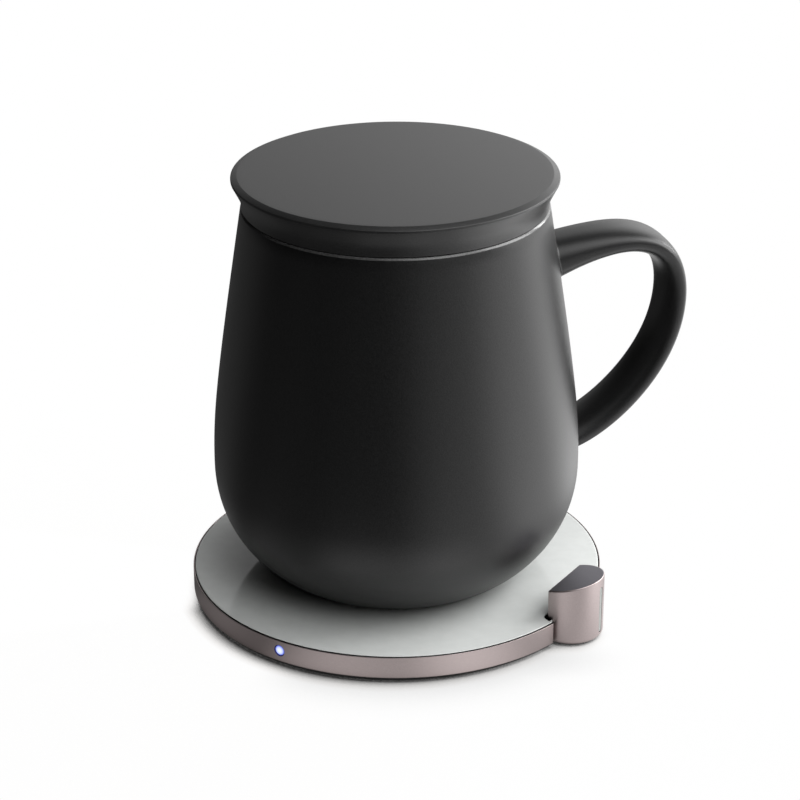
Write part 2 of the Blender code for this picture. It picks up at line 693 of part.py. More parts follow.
def make_inlet():
    front = RING_RADIUS - INLET_RECESS
    back = front - INLET_LENGTH
    outside = slot_outline(INLET_WIDTH, INLET_HEIGHT, INLET_ARC_STEPS)
    bore = slot_outline(INLET_WIDTH - 2 * INLET_WALL, INLET_HEIGHT - 2 * INLET_WALL, INLET_ARC_STEPS)
    finish(along_inlet("inlet_shell", [outside, bore], back, front), (0.62, 0.62, 0.63), 0.3, 1.0)
    room = INLET_WALL + TOUCH_GAP
    plug = slot_outline(INLET_WIDTH - 2 * room, INLET_HEIGHT - 2 * room, INLET_ARC_STEPS)
    plug_front = back + TONGUE_BACK_THICKNESS
    tongue = along_inlet("inlet_tongue", [plug], back, plug_front)
    middle = INLET_BOTTOM + INLET_HEIGHT / 2
    low = (back + TONGUE_BACK_THICKNESS / 2, -TONGUE_WIDTH / 2, middle - TONGUE_THICKNESS / 2)
    high = (front - TONGUE_FRONT_INSET, TONGUE_WIDTH / 2, middle + TONGUE_THICKNESS / 2)
    join(tongue, block("tongue_blade", low, high, INLET_AZIMUTH))
    finish(tongue, (0.03, 0.03, 0.03), 0.5)


def make_indicator():
    back = -LENS_THICKNESS
    end = back - PIPE_LENGTH
    profile = [(0.0, 0.0), (LENS_RADIUS, 0.0), (LENS_RADIUS, back), (PIPE_RADIUS, back),
               (PIPE_RADIUS, end), (0.0, end)]
    front = RING_RADIUS - LENS_RECESS
    lens = lay_outwards(turned("indicator_lens", profile, SMALL_FACETS), front, LIGHT_HEIGHT, LIGHT_AZIMUTH)
    finish(lens, (0.72, 0.80, 0.95), 0.3)
    led_front = front + end - TOUCH_GAP
    led_board = block("indicator_led", (led_front - LED_BOARD_LENGTH, -LED_BOARD_WIDTH / 2, DECK),
                      (led_front, LED_BOARD_WIDTH / 2, BOARD_TOP), LIGHT_AZIMUTH)
    emitter = block("led_emitter", (led_front - LED_LENGTH, -LED_WIDTH / 2, DECK + BOARD_THICKNESS / 2),
                    (led_front, LED_WIDTH / 2, BOARD_TOP + LED_HEIGHT), LIGHT_AZIMUTH)
    finish(join(led_board, emitter), (0.70, 0.70, 0.66), 0.5)


def make_base_screws():
    for index, (radius, azimuth) in enumerate(screw_places()):
        obj = turned("base_screw_%d" % (index + 1), screw_profile(SCREW_LENGTH), SMALL_FACETS)
        finish(swing_to(obj, radius, azimuth), (0.55, 0.55, 0.56), 0.35, 1.0)


def weigh_post_edges(obj):
    """Give the prism's bottom edges their full rounding, and its other sharp edges a share of it."""
    bm = bmesh.new()
    bm.from_mesh(obj.data)
    weight = bm.edges.layers.float.new("bevel_weight_edge")
    for edge in bm.edges:
        if edge.calc_face_angle(0.0) > math.radians(40.0):
            at_bottom = all(vertex.co.z < 0.0 for vertex in edge.verts)
            edge[weight] = 1.0 if at_bottom else POST_TOP_ROUND_SHARE
    bm.to_mesh(obj.data)
    bm.free()


def strip_slot(name, margin, back, front):
    """The pale strip's shape, from one distance to another from the post's own centre."""
    outline = slot_outline(STRIP_HEIGHT + 2 * margin, STRIP_WIDTH + 2 * margin, STRIP_ARC_STEPS)
    obj = flat_curve(name, [outline], front - back)
    post = Matrix.Rotation(math.radians(POST_AZIMUTH), 4, 'Z') @ Matrix.Translation((POST_CENTRE, 0.0, 0.0))
    turn = Matrix.Rotation(math.radians(STRIP_ANGLE), 4, 'Z')
    place = Matrix.Translation(((back + front) / 2, 0.0, STRIP_BOTTOM + STRIP_HEIGHT / 2))
    obj.matrix_world = post @ turn @ place @ Matrix.Rotation(QUARTER_TURN, 4, 'Y')
    return meshed(obj)


def make_post_shell():
    obj = post_prism("post_shell", 0.0, POST_BOTTOM, POST_TOP_AT_FLAT)
    weigh_post_edges(obj)
    bevel = obj.modifiers.new("edges", 'BEVEL')
    bevel.limit_method = 'WEIGHT'
    bevel.width = POST_BOTTOM_ROUND
    bevel.segments = POST_ROUND_SEGMENTS
    cavity_top = POST_TOP_AT_FLAT - POST_TOP_WALL
    cut(obj, post_prism("post_cavity", -POST_WALL, POST_BOTTOM - CUT_OVERRUN, cavity_top))
    half = ARM_WIDTH / 2 + TOUCH_GAP
    cut(obj, block("arm_window", (POST_FLAT - CUT_OVERRUN, -half, DECK - TOUCH_GAP),
                   (POST_INNER_FLAT + CUT_OVERRUN, half, DECK + ARM_HEIGHT + TOUCH_GAP), POST_AZIMUTH))
    cut(obj, strip_slot("strip_opening", STRIP_GAP, POST_RADIUS - 2 * POST_WALL, POST_RADIUS + CUT_OVERRUN))
    finish(obj, (0.38, 0.33, 0.33), 0.42, 0.9)


def make_post_core():
    margin = POST_WALL + TOUCH_GAP
    top = POST_TOP_AT_FLAT - POST_TOP_WALL - CORE_ROOM_ABOVE
    obj = extruded("post_core", [post_outline(-margin)], POST_BOTTOM, top, POST_AZIMUTH)
    half = ARM_WIDTH / 2
    join(obj, block("core_arm", (ARM_END, -half, DECK), (POST_CENTRE, half, DECK + ARM_HEIGHT), POST_AZIMUTH))
    cut(obj, screw_hole("arm_hole", ARM_END + ARM_SCREW_INSET, POST_AZIMUTH))
    sensor = sensor_box()
    pocket_low = (POST_FLAT, sensor[0][1] - TOUCH_GAP, sensor[0][2] - TOUCH_GAP)
    pocket_high = (sensor[1][0] + TOUCH_GAP, sensor[1][1] + TOUCH_GAP, sensor[1][2] + TOUCH_GAP)
    cut(obj, block("sensor_pocket", pocket_low, pocket_high, POST_AZIMUTH))
    finish(obj, (0.03, 0.03, 0.032), 0.6)


def sensor_box():
    front = POST_INNER_FLAT + TOUCH_GAP
    bottom = PLATE_TOP + SENSOR_ABOVE_PLATE
    low = (front, -SENSOR_WIDTH / 2, bottom)
    high = (front + SENSOR_THICKNESS, SENSOR_WIDTH / 2, bottom + SENSOR_HEIGHT)
    return low, high


def make_post_small_parts():
    finish(block("mug_sensor", *sensor_box(), POST_AZIMUTH), (0.05, 0.05, 0.06), 0.5)
    back = POST_RADIUS - POST_WALL
    strip = strip_slot("post_strip", 0.0, back, POST_RADIUS - STRIP_RECESS)
    finish(strip, (0.70, 0.73, 0.70), 0.3)
    screw = turned("post_screw", screw_profile(SCREW_LENGTH), SMALL_FACETS)
    swing_to(screw, ARM_END + ARM_SCREW_INSET, POST_AZIMUTH)
    finish(screw, (0.55, 0.55, 0.56), 0.35, 1.0)


def outer_curve():
    """The mug's outer side from its rim down to its foot."""
    foot = Vector((FOOT_RADIUS, FOOT_LIFT))
    belly = Vector((BELLY_RADIUS, BELLY_HEIGHT))
    rim = Vector((RIM_RADIUS, RIM_HEIGHT - RIM_ROUND))
    down = Vector((0.0, -BELLY_REACH_DOWN))
    up = Vector((0.0, BELLY_REACH_UP))
    lean = direction(-90.0 + RIM_LEAN) * RIM_REACH
    upper = cubic(rim, rim + lean, belly + up, belly, UPPER_CURVE_STEPS)
    lower = cubic(belly, belly + down, foot + direction(FOOT_CURVE_ANGLE) * FOOT_CURVE_REACH, foot,
                  LOWER_CURVE_STEPS)
    return upper + lower[1:]


def inner_curve():
    """The mug's inner side from the edge of its flat floor up to its rim."""
    floor = Vector((MUG_INNER_FLOOR_RADIUS, MUG_CEILING - MUG_BASE + MUG_FLOOR))
    belly = Vector((BELLY_RADIUS - MUG_WALL, BELLY_HEIGHT))
    rim = Vector((RIM_INNER, RIM_HEIGHT - RIM_ROUND))
    out = Vector((MUG_INNER_FLOOR_REACH, 0.0))
    down = Vector((0.0, -BELLY_REACH_DOWN))
    up = Vector((0.0, BELLY_REACH_UP))
    lean = direction(-90.0 + RIM_LEAN) * RIM_REACH
    lower = cubic(floor, floor + out, belly + down, belly, INNER_CURVE_STEPS)
    upper = cubic(belly, belly + up, rim + lean, rim, INNER_CURVE_STEPS)
    return lower + upper[1:]


def groove_profile():
    """The underside of the foot, from its outer edge in to the hollow: land, groove, land."""
    inner = FOOT_RING_INNER - TOUCH_GAP
    outer = FOOT_RING_OUTER + TOUCH_GAP
    roof = FOOT_RING_HEIGHT + TOUCH_GAP
    return [(outer, FOOT_LIFT), (outer, roof), (inner, roof), (inner, FOOT_LIFT),
            (BASE_HOLLOW_RADIUS, FOOT_LIFT)]


def raised(profile, lift):
    return [(radius, height + lift) for radius, height in profile]


def superellipse(angle, half_width, half_thickness):
    """A point on the strap's rounded rectangle: (across the strap, through it)."""
    power = 2 / HANDLE_SQUARENESS
    across = math.copysign(abs(math.sin(angle)) ** power, math.sin(angle))
    through = math.copysign(abs(math.cos(angle)) ** power, math.cos(angle))
    return across * half_width, through * half_thickness


def root_radius(height):
    """How far from the mug's axis a strap end is buried, inside the wall at a height."""
    curve = outer_curve()
    for (outer, above), (inner, below) in zip(curve, curve[1:]):
        if height >= below:
            share = min((height - below) / (above - below), 1.0)
            return inner + (outer - inner) * share - HANDLE_ROOT_DEPTH
    return FOOT_RADIUS - HANDLE_ROOT_DEPTH


def handle_centreline():
    """The middle of the strap, from its top root round to its lower end, as (radius, height)."""
    top = Vector((root_radius(HANDLE_TOP_HEIGHT), HANDLE_TOP_HEIGHT))
    outer = Vector((HANDLE_OUTER_RADIUS, HANDLE_OUTER_HEIGHT))
    end = Vector((root_radius(HANDLE_END_HEIGHT), HANDLE_END_HEIGHT))
    leave = direction(HANDLE_TOP_ANGLE) * HANDLE_TOP_REACH
    arrive = direction(HANDLE_END_ANGLE) * HANDLE_END_REACH
    up = Vector((0.0, HANDLE_REACH_UP))
    down = Vector((0.0, -HANDLE_REACH_DOWN))
    first = cubic(top, top + leave, outer + up, outer, HANDLE_STATIONS)
    second = cubic(outer, outer + down, end + arrive, end, HANDLE_STATIONS)
    return [Vector(point) for point in first + second[1:]]


def strap_thickness(share):
    """The strap's thickness at a share of its length: thick at its top root, thin round the loop."""
    near_top = max(1 - share / HANDLE_TOP_TAPER_SHARE, 0.0)
    near_end = max((share - (1 - HANDLE_END_TAPER_SHARE)) / HANDLE_END_TAPER_SHARE, 0.0)
    top_extra = (HANDLE_TOP_THICKNESS - HANDLE_STRAP_THICKNESS) * near_top ** 2
    end_extra = (HANDLE_END_THICKNESS - HANDLE_STRAP_THICKNESS) * near_end
    return HANDLE_STRAP_THICKNESS + top_extra + end_extra


def make_handle_guide():
    """Loft the strap: one rounded section at each station of its centreline."""
    line = handle_centreline()
    lengths = [(b - a).length for a, b in zip(line, line[1:])]
    total = sum(lengths)
    bm = bmesh.new()
    rings = []
    for index, centre in enumerate(line):
        ahead = line[min(index + 1, len(line) - 1)]
        behind = line[max(index - 1, 0)]
        along = (ahead - behind).normalized()
        half = strap_thickness(sum(lengths[:index]) / total) / 2
        ring = []
        for corner in range(HANDLE_SECTION_POINTS):
            across, through = superellipse(math.tau * corner / HANDLE_SECTION_POINTS, HANDLE_WIDTH / 2, half)
            place = centre + Vector((-along.y, along.x)) * through
            ring.append(bm.verts.new((place.x, across, place.y + MUG_BASE)))
        rings.append(ring)
    for ring, following in zip(rings, rings[1:]):
        for corner in range(HANDLE_SECTION_POINTS):
            after = (corner + 1) % HANDLE_SECTION_POINTS
            bm.faces.new((ring[corner], ring[after], following[after], following[corner]))
    bm.faces.new(rings[0])
    bm.faces.new(rings[-1])
    bmesh.ops.recalc_face_normals(bm, faces=bm.faces)
    mesh = bpy.data.meshes.new("handle_strap")
    bm.to_mesh(mesh)
    bm.free()
    obj = link("handle_strap", mesh)
    obj.rotation_euler.z = math.radians(HANDLE_AZIMUTH)
    return obj


def make_mug_body():
    rim_outer = RIM_RADIUS - RIM_ROUND
    rim_inner = RIM_INNER + RIM_ROUND
    ceiling = MUG_CEILING - MUG_BASE
    rim_top = [(rim_inner, RIM_HEIGHT), (rim_outer, RIM_HEIGHT)]
    inside = [(0.0, ceiling + MUG_FLOOR)] + inner_curve() + rim_top
    underside = groove_profile() + [(BASE_HOLLOW_RADIUS, ceiling), (0.0, ceiling)]
    profile = inside + outer_curve() + underside
    obj = turned("mug_body", raised(profile, MUG_BASE), MUG_FACETS)
    join(obj, make_handle_guide())
    finish(obj, (0.017, 0.017, 0.017), 0.55)


def make_receiver():
    """The layers in the mug's base, listed from its ceiling down."""
    felt_gap = RECTIFIER_HEIGHT + TOUCH_GAP
    level = MUG_CEILING - TOUCH_GAP
    film_bottom = level - FILM_THICKNESS
    finish(disc("heating_film", FILM_RADIUS, film_bottom, level, INNER_FACETS), (0.40, 0.22, 0.06), 0.4)
    level = film_bottom - TOUCH_GAP
    felt_bottom = level - PAD_FELT_THICKNESS
    felt = washer("insulation_pad", FELT_HOLE_RADIUS, FILM_RADIUS, felt_bottom, level, INNER_FACETS)
    finish(felt, (0.55, 0.53, 0.48), 0.95)
    half = CUTOUT_WIDTH / 2
    cutout = block("thermal_cutout", (-half, -half, level - CUTOUT_HEIGHT), (half, half, level))
    finish(cutout, (0.45, 0.45, 0.46), 0.4, 0.8)
    board_top = felt_bottom - TOUCH_GAP - felt_gap
    board_bottom = board_top - BOARD_THICKNESS
    board = disc("receiver_board", RECEIVER_RADIUS, board_bottom, board_top, INNER_FACETS)
    finish(board, (0.012, 0.09, 0.045), 0.45)
    half = RECTIFIER_WIDTH / 2
    chip_bottom = board_top + TOUCH_GAP
    chip = block("rectifier_chip", (RECTIFIER_OFFSET - half, -half, chip_bottom),
                 (RECTIFIER_OFFSET + half, half, chip_bottom + RECTIFIER_HEIGHT))
    finish(chip, (0.02, 0.02, 0.022), 0.5)
    ferrite_top = board_bottom - TOUCH_GAP
    ferrite_bottom = ferrite_top - FERRITE_THICKNESS
    ferrite = disc("receiver_ferrite", RECEIVER_RADIUS, ferrite_bottom, ferrite_top, INNER_FACETS)
    finish(ferrite, (0.045, 0.045, 0.05), 0.5)
    coil_middle = ferrite_bottom - TOUCH_GAP - COIL_WIRE / 2
    coil = spiral("receiver_coil", RECEIVER_COIL_INNER_RADIUS, RECEIVER_COIL_PITCH, COIL_TURNS,
                  COIL_WIRE, coil_middle)
    finish(coil, (0.62, 0.26, 0.12), 0.3, 1.0)
    cap_top = coil_middle - COIL_WIRE / 2 - TOUCH_GAP
    cap = disc("mug_base_cap", BASE_HOLLOW_RADIUS - TOUCH_GAP, cap_top - CAP_THICKNESS, cap_top, INNER_FACETS)
    finish(cap, (0.02, 0.02, 0.021), 0.6)


def make_foot_ring():
    top = MUG_BASE + FOOT_RING_HEIGHT
    obj = washer("mug_foot_ring", FOOT_RING_INNER, FOOT_RING_OUTER, MUG_BASE, top, MUG_FACETS)
    finish(obj, (0.02, 0.02, 0.02), 0.8)


def lid_top():
    """The lid's shallow dish from its middle out, then its rounded edge."""
    points = []
    for step in range(LID_DISH_STEPS + 1):
        share = step / LID_DISH_STEPS
        points.append((LID_DISH_RADIUS * share, LID_HEIGHT - LID_DISH_DEPTH * (1 - share ** 2) ** 2))
    centre = (LID_RADIUS - LID_EDGE_ROUND, LID_HEIGHT - LID_EDGE_ROUND)
    return points + arc(centre, LID_EDGE_ROUND, 90.0, 0.0, 3)


def lid_outside():
    """From the lid's edge under its flare, down the cove to the neck."""
    cove_top = Vector((LID_COVE_RADIUS, LID_COVE_HEIGHT))
    waist = Vector((LID_NECK_RADIUS, LID_WAIST_HEIGHT))
    fall = direction(-180.0 + LID_COVE_END_ANGLE) * LID_COVE_END_REACH
    rise = Vector((0.0, LID_COVE_REACH))
    cove = cubic(cove_top, cove_top + fall, waist + rise, waist, LID_COVE_STEPS)
    foot = arc((LID_NECK_RADIUS - LID_NECK_ROUND, LID_NECK_ROUND), LID_NECK_ROUND, 0.0, -90.0, 2)
    return [(LID_RADIUS, LID_COVE_HEIGHT)] + cove + foot


def lid_plug():
    """The plug that goes into the mug: its outside with the seal's groove, then its hollow."""
    groove_top = -SEAL_DEPTH + TOUCH_GAP
    groove_bottom = -SEAL_DEPTH - SEAL_HEIGHT - TOUCH_GAP
    groove = PLUG_RADIUS - SEAL_GROOVE_DEPTH
    bore = PLUG_RADIUS - LID_PLUG_WALL
    outside = [(PLUG_RADIUS, 0.0), (PLUG_RADIUS, groove_top), (groove, groove_top), (groove, groove_bottom),
               (PLUG_RADIUS, groove_bottom), (PLUG_RADIUS, LID_PLUG_ROUND - LID_PLUG_DEPTH),
               (PLUG_RADIUS - LID_PLUG_ROUND, -LID_PLUG_DEPTH)]
    hollow = [(bore, -LID_PLUG_DEPTH), (bore, LID_HOLLOW_HEIGHT), (0.0, LID_HOLLOW_HEIGHT)]
    return outside + hollow


def make_lid():
    obj = turned("lid", raised(lid_top() + lid_outside() + lid_plug(), LID_BASE), MUG_FACETS)
    finish(obj, (0.030, 0.030, 0.030), 0.5)
    inner = PLUG_RADIUS - SEAL_GROOVE_DEPTH + TOUCH_GAP
    top = LID_BASE - SEAL_DEPTH
    seal = washer("lid_seal", inner, inner + SEAL_THICKNESS, top - SEAL_HEIGHT, top, MUG_FACETS)
    finish(seal, (0.04, 0.04, 0.042), 0.7)


def shade_round_pieces():
    for obj in bpy.data.collections[PARTS].objects:
        if obj.type == 'MESH' and obj.data.polygons:
            obj.data.shade_smooth()
            obj.data.set_sharp_from_angle(angle=math.radians(35.0))


def main():
    clear_scene()
    make_foot_pad()
    make_base_cover()
    make_housing_ring()
    make_top_plate()
    make_plate_gasket()
    make_transmitter()
    make_control_board()
    make_inlet()
    make_indicator()
    make_base_screws()
    make_post_shell()
    make_post_core()
    make_post_small_parts()
    make_mug_body()
    make_receiver()
    make_foot_ring()
    make_lid()
    shade_round_pieces()


main()
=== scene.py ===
# %% [markdown]
# # A self heating mug on its pad
# This lesson builds a black ceramic mug with a lid, standing on a thin wireless heating pad.
# The pad is a pale glazed plate in a metal ring, with a small light in front and a post at its edge.
# Each step builds one piece or one finish, and says how the real piece is made and why it is built this way.

# %% Load the frame
from math import acos, atan, atan2, copysign, cos, degrees, hypot, radians, sin, sqrt, tan, tau

import bmesh
import bpy
import numpy as np
from mathutils import Matrix, Vector


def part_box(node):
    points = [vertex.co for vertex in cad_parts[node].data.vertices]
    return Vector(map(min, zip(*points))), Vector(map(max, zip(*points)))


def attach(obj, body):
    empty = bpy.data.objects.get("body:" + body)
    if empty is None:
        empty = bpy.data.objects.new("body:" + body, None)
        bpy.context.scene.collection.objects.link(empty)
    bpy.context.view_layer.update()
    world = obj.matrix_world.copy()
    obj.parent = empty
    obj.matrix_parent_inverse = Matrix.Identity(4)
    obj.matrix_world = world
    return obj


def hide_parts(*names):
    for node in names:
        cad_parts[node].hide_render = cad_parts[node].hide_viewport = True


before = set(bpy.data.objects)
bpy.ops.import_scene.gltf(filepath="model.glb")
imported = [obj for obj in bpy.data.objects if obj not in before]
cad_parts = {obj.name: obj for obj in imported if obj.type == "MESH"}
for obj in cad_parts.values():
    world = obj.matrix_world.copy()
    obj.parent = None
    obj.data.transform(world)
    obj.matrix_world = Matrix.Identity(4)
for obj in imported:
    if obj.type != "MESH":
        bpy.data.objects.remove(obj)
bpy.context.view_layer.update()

# %% [markdown]
# ## Tools for round and stacked pieces
# Nearly every piece here was turned, thrown, pressed or cut from a sheet.
# A turned piece is an outline of radius and height, swept round the upright axis.
# A stacked piece is one flat outline, repeated at several heights and drawn in at its edges.
# Both are rows of points with faces between the rows, so one function makes them all.

# %% Arcs and smooth curves
FULL_TURN = tau
FACETS = 192


def arc(centre, radius, start, end, steps):
    """Points on an arc, from one angle in degrees to another."""
    points = []
    for step in range(steps + 1):
        angle = radians(start + (end - start) * step / steps)
        points.append((centre[0] + radius * cos(angle), centre[1] + radius * sin(angle)))
    return points


def heading(angle):
    """A step of one metre in a direction, 0 pointing right and 90 up."""
    return Vector((cos(radians(angle)), sin(radians(angle))))


def curve(start, first, second, end, steps):
    """Points on a cubic curve, which leaves its start towards first and reaches its end from second."""
    points = []
    for step in range(steps + 1):
        t = step / steps
        s = 1 - t
        point = s ** 3 * start + 3 * s * s * t * first + 3 * s * t * t * second + t ** 3 * end
        points.append(tuple(point))
    return points


print("a quarter arc in 4 steps has", len(arc((0.0, 0.0), 1.0, 0.0, 90.0, 4)), "points")

# %% Rounded corners and drawn-in outlines
SHARPEST_CORNER = 0.4


def rounded(corners, loop=False, steps=5):
    """Turn corners of (x, y, radius) into points, with an arc at each corner that has a radius."""
    points = []
    for index, (x, y, radius) in enumerate(corners):
        corner = Vector((x, y))
        if radius == 0 or (not loop and index in (0, len(corners) - 1)):
            points.append((x, y))
            continue
        back = (Vector(corners[index - 1][:2]) - corner).normalized()
        ahead = (Vector(corners[(index + 1) % len(corners)][:2]) - corner).normalized()
        half = back.angle(ahead) / 2
        centre = corner + (back + ahead).normalized() * radius / sin(half)
        first = corner + back * radius / tan(half) - centre
        last = corner + ahead * radius / tan(half) - centre
        sweep = first.angle(last)
        for step in range(steps + 1):
            share = step / steps
            point = first * sin((1 - share) * sweep) + last * sin(share * sweep)
            points.append(tuple(centre + point / sin(sweep)))
    return points


def drawn_in(outline, distance):
    """A closed outline, listed counter-clockwise, with every side moved inwards by a distance."""
    moved = []
    for index, point in enumerate(outline):
        here = Vector(point)
        back = (here - Vector(outline[index - 1])).normalized()
        ahead = (Vector(outline[(index + 1) % len(outline)]) - here).normalized()
        along = (back + ahead).normalized()
        inwards = Vector((-along.y, along.x))
        shortening = max(inwards.dot(Vector((-ahead.y, ahead.x))), SHARPEST_CORNER)
        moved.append(tuple(here + inwards * distance / shortening))
    return moved


print("a rounded corner has", len(rounded([(0, 0, 0), (1, 0, 0.1), (1, 1, 0)])) - 2, "points")

# %% Rows of points to a piece


def into_scene(name, data):
    """Make an object of a mesh, a lamp or a camera, and put it into the scene."""
    made = bpy.data.objects.new(name, data)
    bpy.context.scene.collection.objects.link(made)
    return made


def rows_to_piece(name, rows, loop=False):
    """Put faces between each row of points and the next. A row of one point closes to a tip."""
    bm = bmesh.new()
    placed = [[bm.verts.new(point) for point in row] for row in rows]
    pairs = list(zip(placed, placed[1:]))
    if loop:
        pairs.append((placed[-1], placed[0]))
    for row, following in pairs:
        count = max(len(row), len(following))
        for index in range(count):
            after = (index + 1) % count
            corners = (row[index % len(row)], row[after % len(row)],
                       following[after % len(following)], following[index % len(following)])
            bm.faces.new(dict.fromkeys(corners))
    if not loop:
        for row in (placed[0], placed[-1]):
            if len(row) > 2:
                bm.faces.new(row)
    bmesh.ops.recalc_face_normals(bm, faces=bm.faces)
    mesh = bpy.data.meshes.new(name)
    bm.to_mesh(mesh)
    bm.free()
    return into_scene(name, mesh)


def turned(name, outline, loop=False, facets=FACETS):
    """Sweep an outline of (radius, height) round the upright axis."""
    rows = []
    for radius, height in outline:
        if radius == 0:
            rows.append([(0.0, 0.0, height)])
        else:
            ring = arc((0.0, 0.0), radius, 0.0, 360.0, facets)[:-1]
            rows.append([(x, y, height) for x, y in ring])
    return rows_to_piece(name, rows, loop)


def stacked(name, outline, levels):
    """Repeat one closed outline at each (height, distance drawn in)."""
    rows = []
    for height, distance in levels:
        rows.append([(x, y, height) for x, y in drawn_in(outline, distance)])
    return rows_to_piece(name, rows)


print("a full turn has", FACETS, "facets")

# %% Cut, join, smooth and place


def combined(piece, tool, operation):
    """Cut a tool out of a piece, or fuse it to the piece. The tool itself goes."""
    step = piece.modifiers.new(operation, "BOOLEAN")
    step.operation = operation
    step.solver = "EXACT"
    step.object = tool
    bpy.context.view_layer.update()
    shape = piece.evaluated_get(bpy.context.evaluated_depsgraph_get())
    mesh = bpy.data.meshes.new_from_object(shape)
    piece.modifiers.clear()
    piece.data = mesh
    bpy.data.objects.remove(tool)
    return piece


def smoothed(piece, crease=32.0):
    """Shade a piece smoothly, but keep the edges crisp where faces meet at more than the crease angle."""
    bm = bmesh.new()
    bm.from_mesh(piece.data)
    for face in bm.faces:
        face.smooth = True
    for edge in bm.edges:
        edge.smooth = edge.is_manifold and edge.calc_face_angle(0.0) < radians(crease)
    bm.to_mesh(piece.data)
    bm.free()
    return piece


def turn(angle, axis="Z"):
    """A turn by an angle in degrees."""
    return Matrix.Rotation(radians(angle), 4, axis)


def swung(piece, azimuth):
    """Turn a piece's points about the upright axis, to an azimuth in degrees from +X."""
    piece.data.transform(turn(azimuth))
    return piece


def outward_place(radius, height, azimuth):
    """The place at a radius and a height where a piece's own Z points away from the upright axis."""
    return turn(azimuth) @ Matrix.Translation((radius, 0.0, height)) @ turn(90.0, "Y")


def laid_outwards(piece, radius, height, azimuth):
    """Move a piece's points to an outward place."""
    piece.data.transform(outward_place(radius, height, azimuth))
    return piece


def mounted(piece, body, node, finish):
    """Give a piece its finish, let it ride on its body, and let it stand for the frame's node."""
    piece.data.materials.clear()
    piece.data.materials.append(finish)
    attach(piece, body)
    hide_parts(node)
    print(piece.name, "has", len(piece.data.polygons), "faces and stands for", node)
    return piece


# %% [markdown]
# ## Tools for finishes
# No real surface is one flat colour: clay has grit, anodised metal has a blasted grain, rubber has a bloom.
# A fine noise can drive three things at once, which keeps them in step as they are on the real surface.
# It mixes two close tones, it raises and lowers the surface a little, and it varies the gloss.

# %% Nodes and ramps


def feed(tree, socket, value):
    """Link a socket to the output of a node, or set it to a plain value."""
    if isinstance(value, bpy.types.NodeSocket):
        tree.links.new(value, socket)
    else:
        socket.default_value = value


def add(tree, kind, **values):
    """Add a node and feed the inputs that are given."""
    node = tree.nodes.new("ShaderNode" + kind)
    for name, value in values.items():
        feed(tree, node.inputs[name], value)
    return node


def vector_step(tree, operation, source, other=None):
    """Add a step of vector arithmetic on a source, with a fixed second vector where it takes one."""
    node = add(tree, "VectorMath", Vector=source)
    node.operation = operation
    if other is not None:
        node.inputs[1].default_value = other
    return node


def ramp_between(tree, source, stops):
    """A colour ramp on a value. Stops are (position, colour)."""
    ramp = add(tree, "ValToRGB", Fac=source)
    elements = ramp.color_ramp.elements
    while len(elements) < len(stops):
        elements.new(1.0)
    for element, (position, colour) in zip(elements, stops):
        element.position = position
        element.color = (*colour, 1.0)
    return ramp.outputs["Color"]


def blank_finish(name):
    """A finish and its tree of nodes."""
    finish = bpy.data.materials.new(name)
    finish.use_nodes = True
    return finish, finish.node_tree


print("a ramp's stops are given as (position, colour)")

# %% A grained finish
GRAIN_STOPS = (0.36, 0.64)


def colour_of(tone):
    """A tone is a colour already, or one number, which makes a grey."""
    return tone if isinstance(tone, tuple) else (tone, tone, tone)


def grained(name, tones, grain, roughness, metallic=0.0, relief=0.0, gloss_change=0.05):
    """A finish whose fine grain mixes two tones, raises the surface and varies the gloss."""
    finish, tree = blank_finish(name)
    surface = tree.nodes["Principled BSDF"].inputs
    surface["Metallic"].default_value = metallic
    spot = add(tree, "TexCoord").outputs["Object"]
    noise = add(tree, "TexNoise", Vector=spot, Scale=1.0 / grain, Detail=3.0, Roughness=0.6).outputs["Fac"]
    stops = [(position, colour_of(tone)) for position, tone in zip(GRAIN_STOPS, tones)]
    feed(tree, surface["Base Color"], ramp_between(tree, noise, stops))
    ends = {"To Min": roughness - gloss_change, "To Max": roughness + gloss_change}
    feed(tree, surface["Roughness"], add(tree, "MapRange", Value=noise, **ends).outputs["Result"])
    if relief:
        feed(tree, surface["Normal"], add(tree, "Bump", Distance=relief, Height=noise).outputs["Normal"])
    return finish


def finished_apart(piece, finish, belongs):
    """Give a finish of their own to the faces that pass a test, and count them."""
    number = len(piece.data.materials)
    piece.data.materials.append(finish)
    chosen = [face for face in piece.data.polygons if belongs(face)]
    for face in chosen:
        face.material_index = number
    return len(chosen)


print("a grain mixes its tones between", GRAIN_STOPS[0], "and", GRAIN_STOPS[1])

# %% [markdown]
# ## The plate
# The pad's top is a glazed plate, 0.9 mm thick, with a notch in its edge where the post stands.
# It could be a disc with the notch cut out afterwards, but then the notch would have raw edges.
# Stacking the whole outline rounds the rim and the notch in one go.
# A last row just inside the rim keeps the flat top's reflections flat.
# The plate's side has a black finish, painted shade for the narrow seam, which shows as a fine dark line
# between plate and metal.

# %% The plate's outline
plate_low, plate_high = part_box("top_plate")
PLATE_RADIUS = plate_high.y
PLATE_TOP = plate_high.z
PLATE_BOTTOM = plate_low.z
POST_AZIMUTH = -32.0
POST_RADIUS = 0.0087
POST_FLAT = 0.05085
POST_CENTRE = 0.05285
NOTCH_GAP = 0.0002
NOTCH_FLARE = 27.0
HUG_ANGLE = 92.0
TIP_ROUND = 0.0003
NOTCH_FLAT = POST_FLAT - NOTCH_GAP
NOTCH_HALF = sqrt((POST_RADIUS + NOTCH_GAP) ** 2 - (NOTCH_FLAT - POST_CENTRE) ** 2)


def notch_tip(radius):
    """Where the notch's flared side meets a circle round the pad's axis."""
    side = heading(NOTCH_FLARE)
    start = Vector((NOTCH_FLAT, NOTCH_HALF))
    middle = start.dot(side)
    return start + side * (-middle + sqrt(middle ** 2 + radius ** 2 - start.length_squared))


